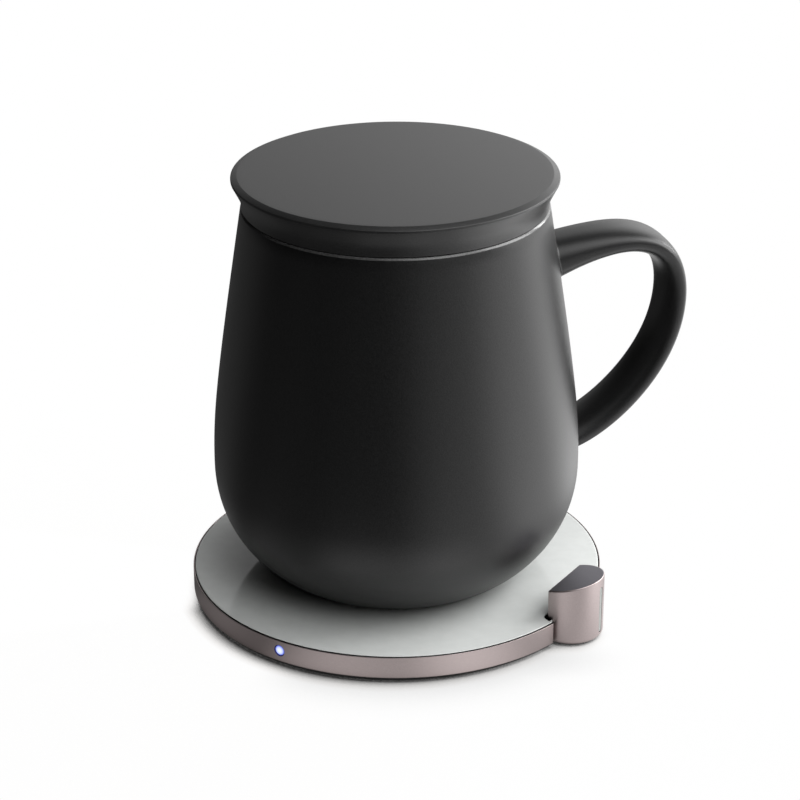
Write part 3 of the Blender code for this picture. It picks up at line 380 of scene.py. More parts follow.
def notched_circle(radius):
    """A circle with the post's notch in it, on the side of +X. The notch follows the post, then flares."""
    tip = notch_tip(radius)
    reach = degrees(atan2(tip.y, tip.x))
    margin = 1.0
    rim = arc((0.0, 0.0), radius, reach + margin, 360.0 - reach - margin, FACETS)
    hug = Vector((POST_CENTRE, 0.0)) + heading(HUG_ANGLE) * (POST_RADIUS + NOTCH_GAP)
    corners = [(NOTCH_FLAT, -NOTCH_HALF, TIP_ROUND), (NOTCH_FLAT, NOTCH_HALF, TIP_ROUND)]
    corners += [(hug.x, hug.y, TIP_ROUND), (tip.x, tip.y, TIP_ROUND)]
    corners += [(x, y, 0.0) for x, y in rim]
    corners += [(tip.x, -tip.y, TIP_ROUND), (hug.x, -hug.y, TIP_ROUND)]
    return rounded(corners, loop=True, steps=4)


print("the plate is", round(PLATE_RADIUS * 2000, 1), "mm across")

# %% Build and glaze the plate
PLATE_ROUND = 0.00025
plate_edge = arc((0.0, PLATE_TOP - PLATE_ROUND), PLATE_ROUND, 0.0, 90.0, 6)
half_round = PLATE_ROUND / 2
plate_levels = [(PLATE_BOTTOM, 2 * PLATE_ROUND), (PLATE_BOTTOM, half_round)]
plate_levels += [(PLATE_BOTTOM + half_round, 0.0)]
plate_levels += [(height, PLATE_ROUND - out) for out, height in plate_edge]
plate_levels += [(PLATE_TOP, 3 * PLATE_ROUND)]
plate = stacked("plate", notched_circle(PLATE_RADIUS), plate_levels)
swung(plate, POST_AZIMUTH)
smoothed(plate)
GLAZE_TONES = [(0.675, 0.695, 0.680), (0.705, 0.725, 0.710)]
plate_glaze = grained("plate_glaze", GLAZE_TONES, 0.004, 0.070, gloss_change=0.012)
mounted(plate, "pad", "top_plate", plate_glaze)
# Painted shade: the plate's black side stands for the shadow in the seam between plate and ring.
painted_seam_shade = grained("painted_seam_shade", (0.008, 0.014), 0.0006, 0.6, relief=0.00001)


def on_plate_side(face):
    """Whether a face stands upright at the plate's rim."""
    return hypot(face.center.x, face.center.y) > PLATE_RADIUS - PLATE_ROUND and abs(face.normal.z) < 0.5


print(finished_apart(plate, painted_seam_shade, on_plate_side), "faces of the plate's side are painted black")

# %% [markdown]
# ## The seal and the metal ring
# A black adhesive ring holds the plate to a ledge inside the housing ring.
# The housing is turned from aluminium: a thin wall, a ledge, a fine lip level with the plate, soft edges.
# It is a closed outline swept round. A mill then cuts the notch, the lens hole and the socket's mouth.

# %% The seal under the plate
gasket_low, gasket_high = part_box("plate_gasket")
GASKET_WIDTH = 0.0028
FINE_ROUND = 0.0001


def turned_band(name, high, low, width, low_round, steps):
    """A ring with a rectangular section, from the box it fills. Its lower edges have their own rounding."""
    inner = high.y - width
    corners = [(inner, low.z, low_round), (high.y, low.z, low_round)]
    corners += [(high.y, high.z, FINE_ROUND), (inner, high.z, FINE_ROUND)]
    return turned(name, rounded(corners, loop=True, steps=steps), loop=True)


gasket = turned_band("gasket", gasket_high, gasket_low, GASKET_WIDTH, FINE_ROUND, 2)


def notch_cutter():
    """A prism that clears the post's room out of the pad."""
    far = 0.0580
    wide = NOTCH_HALF + (far - NOTCH_FLAT) * tan(radians(NOTCH_FLARE))
    outline = [(NOTCH_FLAT, -NOTCH_HALF), (far, -wide), (far, wide), (NOTCH_FLAT, NOTCH_HALF)]
    return swung(stacked("notch_cutter", outline, [(-0.001, 0.0), (0.010, 0.0)]), POST_AZIMUTH)


combined(gasket, notch_cutter(), "DIFFERENCE")
smoothed(gasket)
black_seal = grained("black_seal", (0.008, 0.014), 0.0006, 0.7, relief=0.00002)
mounted(gasket, "pad", "plate_gasket", black_seal)

# %% Turn the housing ring
ring_low, ring_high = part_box("housing_ring")
RING_RADIUS = ring_high.y
RING_TOP = ring_high.z
RING_BOTTOM = ring_low.z
RING_WALL = 0.0011
RING_INNER = RING_RADIUS - RING_WALL
LIP_GAP = 0.00025
LIP_INNER = PLATE_RADIUS + LIP_GAP
LEDGE_REACH = 0.0025
LEDGE_INNER = RING_INNER - LEDGE_REACH
LEDGE_TOP = 0.0055
LEDGE_BOTTOM = 0.0049
LIP_ROUND = 0.00009
BOTTOM_ROUND = 0.0003
HOLDING_STEP = 0.0002
ring_corners = [
    (RING_RADIUS, RING_TOP, LIP_ROUND), (RING_RADIUS, RING_TOP - HOLDING_STEP, 0.0),
    (RING_RADIUS, RING_BOTTOM + BOTTOM_ROUND + HOLDING_STEP, 0.0), (RING_RADIUS, RING_BOTTOM, BOTTOM_ROUND),
    (RING_INNER, RING_BOTTOM, LIP_ROUND), (RING_INNER, LEDGE_BOTTOM, 0.0),
    (LEDGE_INNER, LEDGE_BOTTOM, LIP_ROUND), (LEDGE_INNER, LEDGE_TOP, LIP_ROUND),
    (LIP_INNER, LEDGE_TOP, 0.0), (LIP_INNER, RING_TOP, LIP_ROUND)]
ring = turned("ring", rounded(ring_corners, loop=True, steps=4), loop=True)
print("the ring is", round((RING_TOP - RING_BOTTOM) * 1000, 2), "mm high")

# %% Lugs for the screws
LUG_LENGTH = 0.0067
LUG_WIDTH = 0.0046
LUG_OVERLAP = 0.0004
LUG_BOTTOM = 0.0029
LUG_TOP = (LEDGE_TOP + LEDGE_BOTTOM) / 2
SCREW_CIRCLE = 0.0484
SCREW_HOLE = 0.0010
HOLE_ROOF = 0.0002
LUG_COUNT = 4
LUG_FIRST_AZIMUTH = 15.0
for lug_index in range(LUG_COUNT):
    azimuth = LUG_FIRST_AZIMUTH + 360.0 * lug_index / LUG_COUNT
    inner = RING_INNER - LUG_LENGTH
    outer = RING_INNER + LUG_OVERLAP
    half = LUG_WIDTH / 2
    corners = [(inner, -half, half), (outer, -half, 0.0), (outer, half, 0.0), (inner, half, half)]
    lug = stacked("lug", rounded(corners, loop=True, steps=8), [(LUG_BOTTOM, 0.0), (LUG_TOP, 0.0)])
    combined(ring, swung(lug, azimuth), "UNION")
    bore = arc((SCREW_CIRCLE, 0.0), SCREW_HOLE, 0.0, 360.0, 24)[:-1]
    hole = stacked("hole", bore, [(0.0, 0.0), (LEDGE_BOTTOM - HOLE_ROOF, 0.0)])
    combined(ring, swung(hole, azimuth), "DIFFERENCE")
print("the ring has", LUG_COUNT, "screw lugs")

# %% Mill the notch, the lens hole and the mouth for the socket
combined(ring, notch_cutter(), "DIFFERENCE")
LIGHT_AZIMUTH = -123.2
LIGHT_HEIGHT = 0.0043
LENS_RADIUS = 0.0014
LENS_GAP = 0.0002
LENS_FACETS = 48
OVERRUN = 0.001
hole_radius = LENS_RADIUS + LENS_GAP
hole_outline = [(0.0, -2 * OVERRUN), (hole_radius, -2 * OVERRUN), (hole_radius, OVERRUN), (0.0, OVERRUN)]
lens_hole = turned("lens_hole", hole_outline, facets=LENS_FACETS)
combined(ring, laid_outwards(lens_hole, RING_RADIUS, LIGHT_HEIGHT, LIGHT_AZIMUTH), "DIFFERENCE")


def slot_outline(length, width, steps=12):
    """A straight slot with round ends, its length along Y."""
    half = (length - width) / 2
    right_end = arc((0.0, half), width / 2, 0.0, 180.0, steps)
    return right_end + arc((0.0, -half), width / 2, 180.0, 360.0, steps)


socket_low, socket_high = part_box("inlet_shell")
SOCKET_WIDTH = socket_high.x - socket_low.x
SOCKET_HEIGHT = socket_high.z - socket_low.z
SOCKET_MIDDLE = (socket_high.z + socket_low.z) / 2
SOCKET_AZIMUTH = 90.0
MOUTH_PLAY = 0.0006
MOUTH_DEPTH = 0.006
mouth_outline = slot_outline(SOCKET_WIDTH + MOUTH_PLAY, SOCKET_HEIGHT + MOUTH_PLAY)
mouth = stacked("mouth", mouth_outline, [(-MOUTH_DEPTH, 0.0), (OVERRUN, 0.0)])
combined(ring, laid_outwards(mouth, RING_RADIUS, SOCKET_MIDDLE, SOCKET_AZIMUTH), "DIFFERENCE")
smoothed(ring)
print("the socket's mouth is", round(SOCKET_WIDTH * 1000, 2), "mm wide")

# %% [markdown]
# ## Anodised metal
# The ring and the post are bead blasted before they are anodised to a warm rose grey.
# Blasting leaves tiny dents that break up every reflection, so the metal looks soft and even.
# A fine grain with a low relief gives that, over a metallic base that tints what it reflects.

# %% Finish the ring
BLAST_GRAIN = 0.00022
ROSE_TONES = [(0.425, 0.362, 0.357), (0.475, 0.405, 0.400)]
pad_metal = grained("pad_metal", ROSE_TONES, BLAST_GRAIN, 0.40, 1.0, relief=0.000006, gloss_change=0.04)
mounted(ring, "pad", "housing_ring", pad_metal)

# %% [markdown]
# ## The light in the ring
# A clear rod carries the light of a small lamp through the ring, and ends in a lens just behind the metal.
# The lens is turned as a shallow dome on its rod, and laid on its side to look outwards.
# Its glow is white in the middle and turns blue towards the edge, where less of the light leaves it.

# %% Turn the lens
LENS_RECESS = 0.0001
LENS_THICKNESS = 0.0009
LENS_DOME = 0.00018
DOME_STEPS = 8
ROD_RADIUS = 0.0004
ROD_LENGTH = 0.0037
ROD_END = -LENS_THICKNESS - ROD_LENGTH
lens_outline = [(0.0, 0.0)]
for lens_step in range(1, DOME_STEPS + 1):
    share = lens_step / DOME_STEPS
    lens_outline.append((LENS_RADIUS * share, -LENS_DOME * share ** 4))
lens_outline += [(LENS_RADIUS, -LENS_THICKNESS), (ROD_RADIUS, -LENS_THICKNESS)]
lens_outline += [(ROD_RADIUS, ROD_END), (0.0, ROD_END)]
lens = turned("lens", lens_outline, facets=LENS_FACETS)
lens.matrix_world = outward_place(RING_RADIUS - LENS_RECESS, LIGHT_HEIGHT, LIGHT_AZIMUTH)
smoothed(lens)
print("the lens is", round(LENS_RADIUS * 2000, 1), "mm across")

# %% Light the lens
light_lens, lens_tree = blank_finish("light_lens")
lens_surface = lens_tree.nodes["Principled BSDF"].inputs
lens_surface["Roughness"].default_value = 0.25
lens_surface["Base Color"].default_value = (0.10, 0.13, 0.30, 1.0)
lens_surface["Emission Strength"].default_value = 1.0
GLOW_STOPS = [(0.30, (0.84, 0.90, 1.0)), (0.66, (0.55, 0.64, 1.0)),
              (0.86, (0.14, 0.18, 0.72)), (1.0, (0.02, 0.03, 0.20))]
lens_scale = (1.0 / LENS_RADIUS, 1.0 / LENS_RADIUS, 0.0)
lens_across = vector_step(lens_tree, "MULTIPLY", add(lens_tree, "TexCoord").outputs["Object"], lens_scale)
lens_far = vector_step(lens_tree, "LENGTH", lens_across.outputs["Vector"])
lens_glow = ramp_between(lens_tree, lens_far.outputs["Value"], GLOW_STOPS)
feed(lens_tree, lens_surface["Emission Color"], lens_glow)
mounted(lens, "pad", "indicator_lens", light_lens)

# %% [markdown]
# ## The post
# The post is a D in plan: a round outer side, a flat side towards the mug, and a top that climbs outwards.
# It is extruded and cut off at a slant, with small rounds along the top and a soft one at the bottom.
# Stacked outlines give all of that, with the upper rows following the slant.

# %% Stack the post
POST_BOTTOM = 0.0003
POST_TOP_AT_FLAT = 0.0150
POST_RISE = tan(radians(13.0))
POST_BOTTOM_ROUND = 0.0013
POST_EDGE_ROUND = 0.00038
POST_WALL = 0.0010
POST_CORNER_ROUND = 0.0005
LEAST_ROUND = 0.00002
AT_THE_TOP = -1e-9


def post_outline(offset, corner_round):
    """The D shape, grown by an offset, with rounded corners at the ends of its flat side."""
    radius = POST_RADIUS + offset
    corner = degrees(acos((POST_FLAT - offset - POST_CENTRE) / radius))
    margin = 4.2
    ends = arc((POST_CENTRE, 0.0), radius, -corner, corner, 1)
    bow = arc((POST_CENTRE, 0.0), radius, margin - corner, corner - margin, 72)
    corners = [(*ends[0], corner_round)] + [(x, y, 0.0) for x, y in bow] + [(*ends[1], corner_round)]
    return rounded(corners, loop=True, steps=6)


def slanted_rows(levels):
    """Rows of the post's outline. A level below 0 hangs from the slanted top, others are plain heights."""
    rows = []
    for height, distance in levels:
        row = []
        for x, y in post_outline(-distance, max(POST_CORNER_ROUND - distance, LEAST_ROUND)):
            slant = POST_TOP_AT_FLAT + (x - POST_FLAT) * POST_RISE
            row.append((x, y, height if height > 0 else slant + height))
        rows.append(row)
    return rows


post_levels = [(POST_BOTTOM, POST_BOTTOM_ROUND * 1.6)]
for drop, level in arc((0.0, POST_BOTTOM + POST_BOTTOM_ROUND), POST_BOTTOM_ROUND, -90.0, 0.0, 8):
    post_levels.append((level, POST_BOTTOM_ROUND - drop))
post_levels.append((POST_BOTTOM + POST_BOTTOM_ROUND + HOLDING_STEP, 0.0))
post_levels.append((-POST_EDGE_ROUND - HOLDING_STEP, 0.0))
for drop, level in arc((0.0, -POST_EDGE_ROUND), POST_EDGE_ROUND, 0.0, 90.0, 7):
    post_levels.append((min(level, AT_THE_TOP), POST_EDGE_ROUND - drop))
post_levels.append((AT_THE_TOP, POST_EDGE_ROUND + HOLDING_STEP))
post = rows_to_piece("post", slanted_rows(post_levels))
print("the post's top climbs from", round(POST_TOP_AT_FLAT * 1000, 1), "mm at its flat side")

# %% Hollow the post and cut its windows
TOP_WALL = 0.0012
hollow = rows_to_piece("hollow", slanted_rows([(0.0001, POST_WALL), (-TOP_WALL, POST_WALL)]))
combined(post, hollow, "DIFFERENCE")
ARM_HALF = 0.0033
ARM_INNER = 0.0495
ARM_OUTER = 0.0525
ARM_LEVELS = [(0.0026, 0.0), (0.0052, 0.0)]
arm_outline = [(ARM_INNER, -ARM_HALF), (ARM_OUTER, -ARM_HALF), (ARM_OUTER, ARM_HALF), (ARM_INNER, ARM_HALF)]
combined(post, stacked("arm_window", arm_outline, ARM_LEVELS), "DIFFERENCE")
STRIP_WIDTH = 0.0014
STRIP_BOTTOM = 0.0020
STRIP_HEIGHT = 0.0128
STRIP_TURN = 3.5
STRIP_GAP = 0.0001


def strip_slot(name, margin, levels):
    """A slot shape on the post's round side. Levels are (distance out from the post's centre, drawn in)."""
    width = STRIP_WIDTH + 2 * margin
    slot = stacked(name, slot_outline(width, width), levels)
    stretch = (STRIP_HEIGHT - STRIP_WIDTH) / 2
    for vertex in slot.data.vertices:
        vertex.co.x += copysign(stretch, vertex.co.x) if abs(vertex.co.x) > 1e-9 else 0.0
    laid_outwards(slot, 0.0, STRIP_BOTTOM + STRIP_HEIGHT / 2, 0.0)
    slot.data.transform(Matrix.Translation((POST_CENTRE, 0.0, 0.0)) @ turn(STRIP_TURN))
    return slot


combined(post, strip_slot("strip_cutter", STRIP_GAP, [(0.0070, 0.0), (0.0100, 0.0)]), "DIFFERENCE")
swung(post, POST_AZIMUTH)
smoothed(post)
mounted(post, "pad", "post_shell", pad_metal)
# Painted shade: the slanted top gets a darker, bluish tone that stands for the dark surroundings it
# reflects; only its slightly lower roughness is a real change.
TOP_SHADE_TONES = [(0.23, 0.22, 0.25), (0.28, 0.27, 0.30)]
painted_top_shade = grained("painted_top_shade", TOP_SHADE_TONES, BLAST_GRAIN, 0.36, 1.0, relief=0.000002, gloss_change=0.02)
# Count the top faces that take the darker painted shade.
shaded_top_count = finished_apart(post, painted_top_shade, lambda face: face.normal.z > 0.965)
print(shaded_top_count, "faces of the slanted top are cut bright")

# %% The pale strip
STRIP_RECESS = 0.00008
strip_front = POST_RADIUS - STRIP_RECESS
strip_levels = [(POST_RADIUS - POST_WALL, 0.0), (strip_front - FINE_ROUND, 0.0)]
strip_levels += [(strip_front, FINE_ROUND), (strip_front, 2 * FINE_ROUND)]
strip = strip_slot("strip", 0.0, strip_levels)
swung(strip, POST_AZIMUTH)
smoothed(strip)
pale_strip = grained("pale_strip", [(0.29, 0.305, 0.29), (0.33, 0.345, 0.33)], 0.0008, 0.42)
mounted(strip, "pad", "post_strip", pale_strip)

# %% [markdown]
# ## The mug
# The mug is slip cast: the body is a turned shape with a small foot, a full belly and a narrower rim.
# Its outer side is two smooth curves that meet upright at the belly, so the highlight runs unbroken.
# The underside has a hollow for the heater and a groove for the foot ring.

# %% The mug's outline
MUG_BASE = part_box("mug_foot_ring")[0].z
RIM_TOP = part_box("mug_body")[1].z
RIM_RADIUS = 0.0393
RIM_ROUND = 0.0004
RIM_BEVEL_FALL = 0.0006
RIM_BEVEL_REACH = 0.00045
RIM_SOFTENING = 0.00002
MUG_WALL = 0.0042
FOOT_RADIUS = 0.0306
FOOT_BOTTOM = MUG_BASE + 0.0003
BELLY_RADIUS = 0.0479
BELLY_HEIGHT = MUG_BASE + 0.0299
HOLLOW_RADIUS = 0.0270
HOLLOW_TOP = FOOT_BOTTOM + 0.0089
INNER_FLOOR = HOLLOW_TOP + 0.0040
INNER_FLOOR_RADIUS = 0.0220
belly = Vector((BELLY_RADIUS, BELLY_HEIGHT))
belly_inside = Vector((BELLY_RADIUS - MUG_WALL, BELLY_HEIGHT))
rim = Vector((RIM_RADIUS, RIM_TOP - RIM_BEVEL_FALL))
rim_inside = Vector((RIM_RADIUS - MUG_WALL, RIM_TOP - RIM_ROUND))
foot = Vector((FOOT_RADIUS, FOOT_BOTTOM))
floor_edge = Vector((INNER_FLOOR_RADIUS, INNER_FLOOR))
up = Vector((0.0, 0.0130))
down = Vector((0.0, -0.0185))
lean = heading(-90.0 + 9.0) * 0.0490
outer_side = curve(rim, rim + lean, belly + up, belly, 44)
outer_side += curve(belly, belly + down, foot + heading(24.0) * 0.0050, foot, 32)[1:]
inner_side = curve(floor_edge, floor_edge + Vector((0.0140, 0.0)), belly_inside + down, belly_inside, 26)
inner_side += curve(belly_inside, belly_inside + up, rim_inside + lean, rim_inside, 30)[1:]
bevel_start = RIM_RADIUS - RIM_BEVEL_REACH
rim_bow = arc((rim_inside.x + RIM_ROUND, rim_inside.y), RIM_ROUND, 180.0, 90.0, 6)[1:]
rim_bow += [(bevel_start - 0.00005, RIM_TOP), (bevel_start, RIM_TOP - RIM_SOFTENING)]
rim_bow += [(RIM_RADIUS - RIM_SOFTENING, RIM_TOP - RIM_BEVEL_FALL + 2 * RIM_SOFTENING)]
print("the mug is", round((RIM_TOP - MUG_BASE) * 1000, 1), "mm high")

# %% Turn the body
GROOVE_OUTER = 0.0299
GROOVE_INNER = 0.0279
GROOVE_ROOF = MUG_BASE + 0.0012
UNDER_ROUND = 0.0002
under_corners = [(FOOT_RADIUS, FOOT_BOTTOM, 0.0), (GROOVE_OUTER, FOOT_BOTTOM, UNDER_ROUND),
                 (GROOVE_OUTER, GROOVE_ROOF, UNDER_ROUND), (GROOVE_INNER, GROOVE_ROOF, UNDER_ROUND),
                 (GROOVE_INNER, FOOT_BOTTOM, UNDER_ROUND), (HOLLOW_RADIUS, FOOT_BOTTOM, UNDER_ROUND),
                 (HOLLOW_RADIUS, HOLLOW_TOP, 3 * UNDER_ROUND), (0.0, HOLLOW_TOP, 0.0)]
mug_outline = [(0.0, INNER_FLOOR), (INNER_FLOOR_RADIUS / 2, INNER_FLOOR)] + inner_side + rim_bow + outer_side
mug_outline += rounded(under_corners, steps=3)[1:]
mug = turned("mug", mug_outline)
print("the mug's outline has", len(mug_outline), "points")

# %% [markdown]
# ## The handle
# The handle is a flat strap, pressed in its own mould and stuck to the body with slip before firing.
# It is lofted: one soft D after another along a centre line, thicker where it leaves the rim end.
# The D's domed side faces out and its rounder side faces the fingers.
# Close to the body each section swells, the way a potter smooths the joint, and then the two are fused.

# %% The strap's centre line
HANDLE_AZIMUTH = 15.5
HANDLE_HALF_WIDTH = 0.00815
OUTER_SQUARENESS = 2.7
INNER_SQUARENESS = 2.3
INNER_DEPTH = 1.20
STRAP_THICKNESS = 0.00545
TOP_THICKNESS = 0.0100
END_THICKNESS = 0.0060
ROOT_DEPTH = 0.0021
CENTRE_STEPS = 200
side_radius = np.array([point[0] for point in outer_side][::-1])
side_height = np.array([point[1] for point in outer_side][::-1])


def mug_radius(height):
    """The mug's outer radius at a height."""
    return float(np.interp(height, side_height, side_radius))


top_height = MUG_BASE + 0.08205
outer_height = MUG_BASE + 0.06963
end_height = MUG_BASE + 0.03083
top_root = Vector((mug_radius(top_height) - ROOT_DEPTH, top_height))
outermost = Vector((0.07532, outer_height))
end_root = Vector((mug_radius(end_height) - ROOT_DEPTH, end_height))
top_way = heading(11.0) * 0.0061
end_way = heading(13.5) * 0.0104
rise = Vector((0.0, 0.0248))
fall = Vector((0.0, -0.0206))
centre_line = curve(top_root, top_root + top_way, outermost + rise, outermost, CENTRE_STEPS)
centre_line += curve(outermost, outermost + fall, end_root + end_way, end_root, CENTRE_STEPS)[1:]
centre_line = np.array(centre_line)
travelled = np.concatenate([[0.0], np.cumsum(np.linalg.norm(np.diff(centre_line, axis=0), axis=1))])
print("the strap's centre line is", round(travelled[-1] * 1000, 1), "mm long")

# %% The strap's section
ROOT_SWELL = 0.0008
ROOT_LENGTH = 0.0060
SECTION_POINTS = 72
near_root = np.linspace(0.0, ROOT_LENGTH, 44)
middle_part = np.linspace(ROOT_LENGTH, travelled[-1] - ROOT_LENGTH, 70)[1:-1]
stations = np.concatenate([near_root, middle_part, travelled[-1] - near_root[::-1]])


def strap_thickness(share):
    """The strap's thickness at a share of its length."""
    near_top = max(1 - share / 0.30, 0.0)
    near_end = max((share - 0.60) / 0.40, 0.0)
    thicker_top = (TOP_THICKNESS - STRAP_THICKNESS) * near_top ** 2
    return STRAP_THICKNESS + thicker_top + (END_THICKNESS - STRAP_THICKNESS) * near_end


def widest_shift(share):
    """How far out the widest line lies: low near the top, where the strap is domed, and higher later."""
    return float(np.interp(share, (0.0, 0.15, 0.45, 1.0), (-0.30, -0.30, 0.22, 0.22)))


def section(half_thickness, shift):
    """A soft D, with a domed outer side and a rounder inner side: (across the strap, through it)."""
    points = []
    for corner in range(SECTION_POINTS):
        angle = FULL_TURN * corner / SECTION_POINTS
        outer = cos(angle) >= 0
        power = 2 / (OUTER_SQUARENESS if outer else INNER_SQUARENESS)
        across = copysign(abs(sin(angle)) ** power, sin(angle))
        reach = 1 - shift if outer else INNER_DEPTH + shift
        through = shift + copysign(abs(cos(angle)) ** power, cos(angle)) * reach
        points.append((across * HANDLE_HALF_WIDTH, through * half_thickness))
    return points


print("the strap has", len(stations), "sections of", SECTION_POINTS, "points")

# %% Loft the strap
LOOK_AHEAD = 0.0003


def on_centre_line(station):
    """The spot on the centre line at a distance along it."""
    return Vector([np.interp(station, travelled, centre_line[:, side]) for side in (0, 1)])


def swell(outside):
    """How far a point of the strap is pushed out, by its distance outside the mug's surface."""
    if outside <= 0:
        return ROOT_SWELL
    if outside >= ROOT_SWELL:
        return 0.0
    return ROOT_SWELL - sqrt(ROOT_SWELL ** 2 - (ROOT_SWELL - outside) ** 2)


strap_rows = []
for station in stations:
    centre = on_centre_line(station)
    along = (on_centre_line(station + LOOK_AHEAD) - on_centre_line(station - LOOK_AHEAD)).normalized()
    through_way = Vector((-along.y, along.x))
    share = station / travelled[-1]
    plain = section(strap_thickness(share) / 2, widest_shift(share))
    row = []
    for corner, (across, through) in enumerate(plain):
        before = Vector(plain[corner - 1])
        after = Vector(plain[(corner + 1) % SECTION_POINTS])
        edge = (after - before).normalized()
        outwards = Vector((-edge.y, edge.x))
        if outwards.dot(Vector((across, through))) < 0:
            outwards = -outwards
        spot = centre + through_way * through
        outside = hypot(spot.x, across) - mug_radius(spot.y)
        push = swell(outside)
        spot = centre + through_way * (through + outwards.y * push)
        row.append((spot.x, across + outwards.x * push, spot.y))
    strap_rows.append(row)
strap = swung(rows_to_piece("strap", strap_rows), HANDLE_AZIMUTH)
combined(mug, strap, "UNION")
ROUND_CREASE = 38.0
smoothed(mug, ROUND_CREASE)
print("the mug with its strap has", len(mug.data.polygons), "faces")

# %% [markdown]
# ## Matte black glaze
# The outside is a matte black engobe: almost no colour, a dry sheen, and sand-fine grit.
# The inside has a clear glaze over it, because drink would stain the matte surface.
# The fine bevel of the rim is glossier, and its tone is painted much lighter as a painted highlight, so that
# it draws a bright line under the lid.
# Three finishes on one piece keep it one fired body, as it is.

# %% Finish the mug
CLAY_GRAIN = 0.00034
BODY_TONES = [(0.0070, 0.0070, 0.0072), (0.0150, 0.0150, 0.0152)]
black_ceramic = grained("black_ceramic", BODY_TONES, CLAY_GRAIN, 0.38, relief=0.000020, gloss_change=0.07)
inner_glaze = grained("inner_glaze", (0.012, 0.017), 0.003, 0.16, gloss_change=0.02)
# Painted highlight: the rim's bevel is a light grey, far lighter than the black glaze, as well as glossier.
rim_highlight_glaze = grained("rim_highlight_glaze", (0.10, 0.15), 0.0006, 0.20, gloss_change=0.03)
mounted(mug, "mug", "mug_body", black_ceramic)


def has_inner_glaze(face):
    """Whether a face is on the mug's inside or on its rim."""
    middle = face.center
    out = hypot(middle.x, middle.y)
    inside = middle.z > INNER_FLOOR - FINE_ROUND and out < mug_radius(middle.z) - MUG_WALL / 2
    return inside or middle.z > RIM_TOP - RIM_ROUND


def on_rim_bevel(face):
    """Whether a face is on the bevel round the rim."""
    middle = face.center
    return middle.z > RIM_TOP - RIM_BEVEL_FALL and hypot(middle.x, middle.y) > bevel_start


print(finished_apart(mug, inner_glaze, has_inner_glaze), "faces have the inner glaze")
# The bevel's faces take the glossier finish with its painted highlight.
print(finished_apart(mug, rim_highlight_glaze, on_rim_bevel), "faces of the rim's bevel are polished")

# %% [markdown]
# ## The lid
# The lid is pressed ceramic: a nearly flat top, a narrow bevel, a cove under it, and a hollow plug below.
# It is one outline swept round, with the soft cove drawn as a single curve from the neck to the flare.
# Its glaze is the same black, rubbed a little smoother, and given a slightly lighter tone than the mug's.

# %% The lid's top and flare
LID_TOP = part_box("lid")[1].z
LID_PLANE = RIM_TOP + 0.00015
LID_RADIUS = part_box("lid")[1].y - 0.0002
NECK_RADIUS = 0.0391
COVE_RADIUS = 0.0414
COVE_HEIGHT = 0.0068
DOME_RISE = 0.0004
DOME_ROWS = 24
EDGE_FALL = 0.0007
EDGE_REACH = 0.0016
DOME_RADIUS = LID_RADIUS - EDGE_REACH
EDGE_TOP = LID_TOP - DOME_RISE
lid_base = RIM_TOP + 0.0003
dome = []
for dome_row in range(DOME_ROWS):
    dome.append((DOME_RADIUS * dome_row / DOME_ROWS, LID_TOP - DOME_RISE * (dome_row / DOME_ROWS) ** 2))
cove_top = Vector((COVE_RADIUS, lid_base + COVE_HEIGHT))
waist = Vector((NECK_RADIUS, lid_base + 0.0004))
edge_corners = [
    (*dome[-1], 0.0), (DOME_RADIUS, EDGE_TOP, 0.0004), (LID_RADIUS, EDGE_TOP - EDGE_FALL, 0.0003),
    (LID_RADIUS, lid_base + COVE_HEIGHT, 0.00012), (*cove_top, 0.0)]
lid_outline = dome[:-1] + rounded(edge_corners, steps=4)
cove_lean = heading(-180.0 + 68.0) * 0.0025
lid_outline += curve(cove_top, cove_top + cove_lean, waist + Vector((0.0, 0.0026)), waist, 24)[1:]
print("the lid is", round(LID_RADIUS * 2000, 1), "mm across")

# %% The lid's plug
PLUG_RADIUS = 0.0345
PLUG_DEPTH = 0.0095
PLUG_BORE = 0.0311
PLUG_ROOF = lid_base + 0.00425
GROOVE_DEPTH = 0.0013
groove_top = lid_base - 0.0027
groove_bottom = lid_base - 0.0053
plug_bottom = lid_base - PLUG_DEPTH
groove_wall = PLUG_RADIUS - GROOVE_DEPTH
plug_corners = [
    (NECK_RADIUS, waist.y, 0.0), (NECK_RADIUS, LID_PLANE, 0.0002), (PLUG_RADIUS, LID_PLANE, 0.0003),
    (PLUG_RADIUS, groove_top, FINE_ROUND), (groove_wall, groove_top, FINE_ROUND),
    (groove_wall, groove_bottom, FINE_ROUND), (PLUG_RADIUS, groove_bottom, FINE_ROUND),
    (PLUG_RADIUS, plug_bottom, 0.0009), (PLUG_BORE, plug_bottom, 0.0008), (PLUG_BORE, PLUG_ROOF, 0.0015),
    (PLUG_BORE / 2, PLUG_ROOF, 0.0), (0.0, PLUG_ROOF, 0.0)]
lid_outline += rounded(plug_corners, steps=4)[1:]
lid = smoothed(turned("lid_dish", lid_outline), ROUND_CREASE)
LID_TONES = [(0.0160, 0.0160, 0.0162), (0.0260, 0.0260, 0.0262)]
lid_ceramic = grained("lid_ceramic", LID_TONES, CLAY_GRAIN, 0.38, relief=0.000016, gloss_change=0.06)
mounted(lid, "lid", "lid", lid_ceramic)

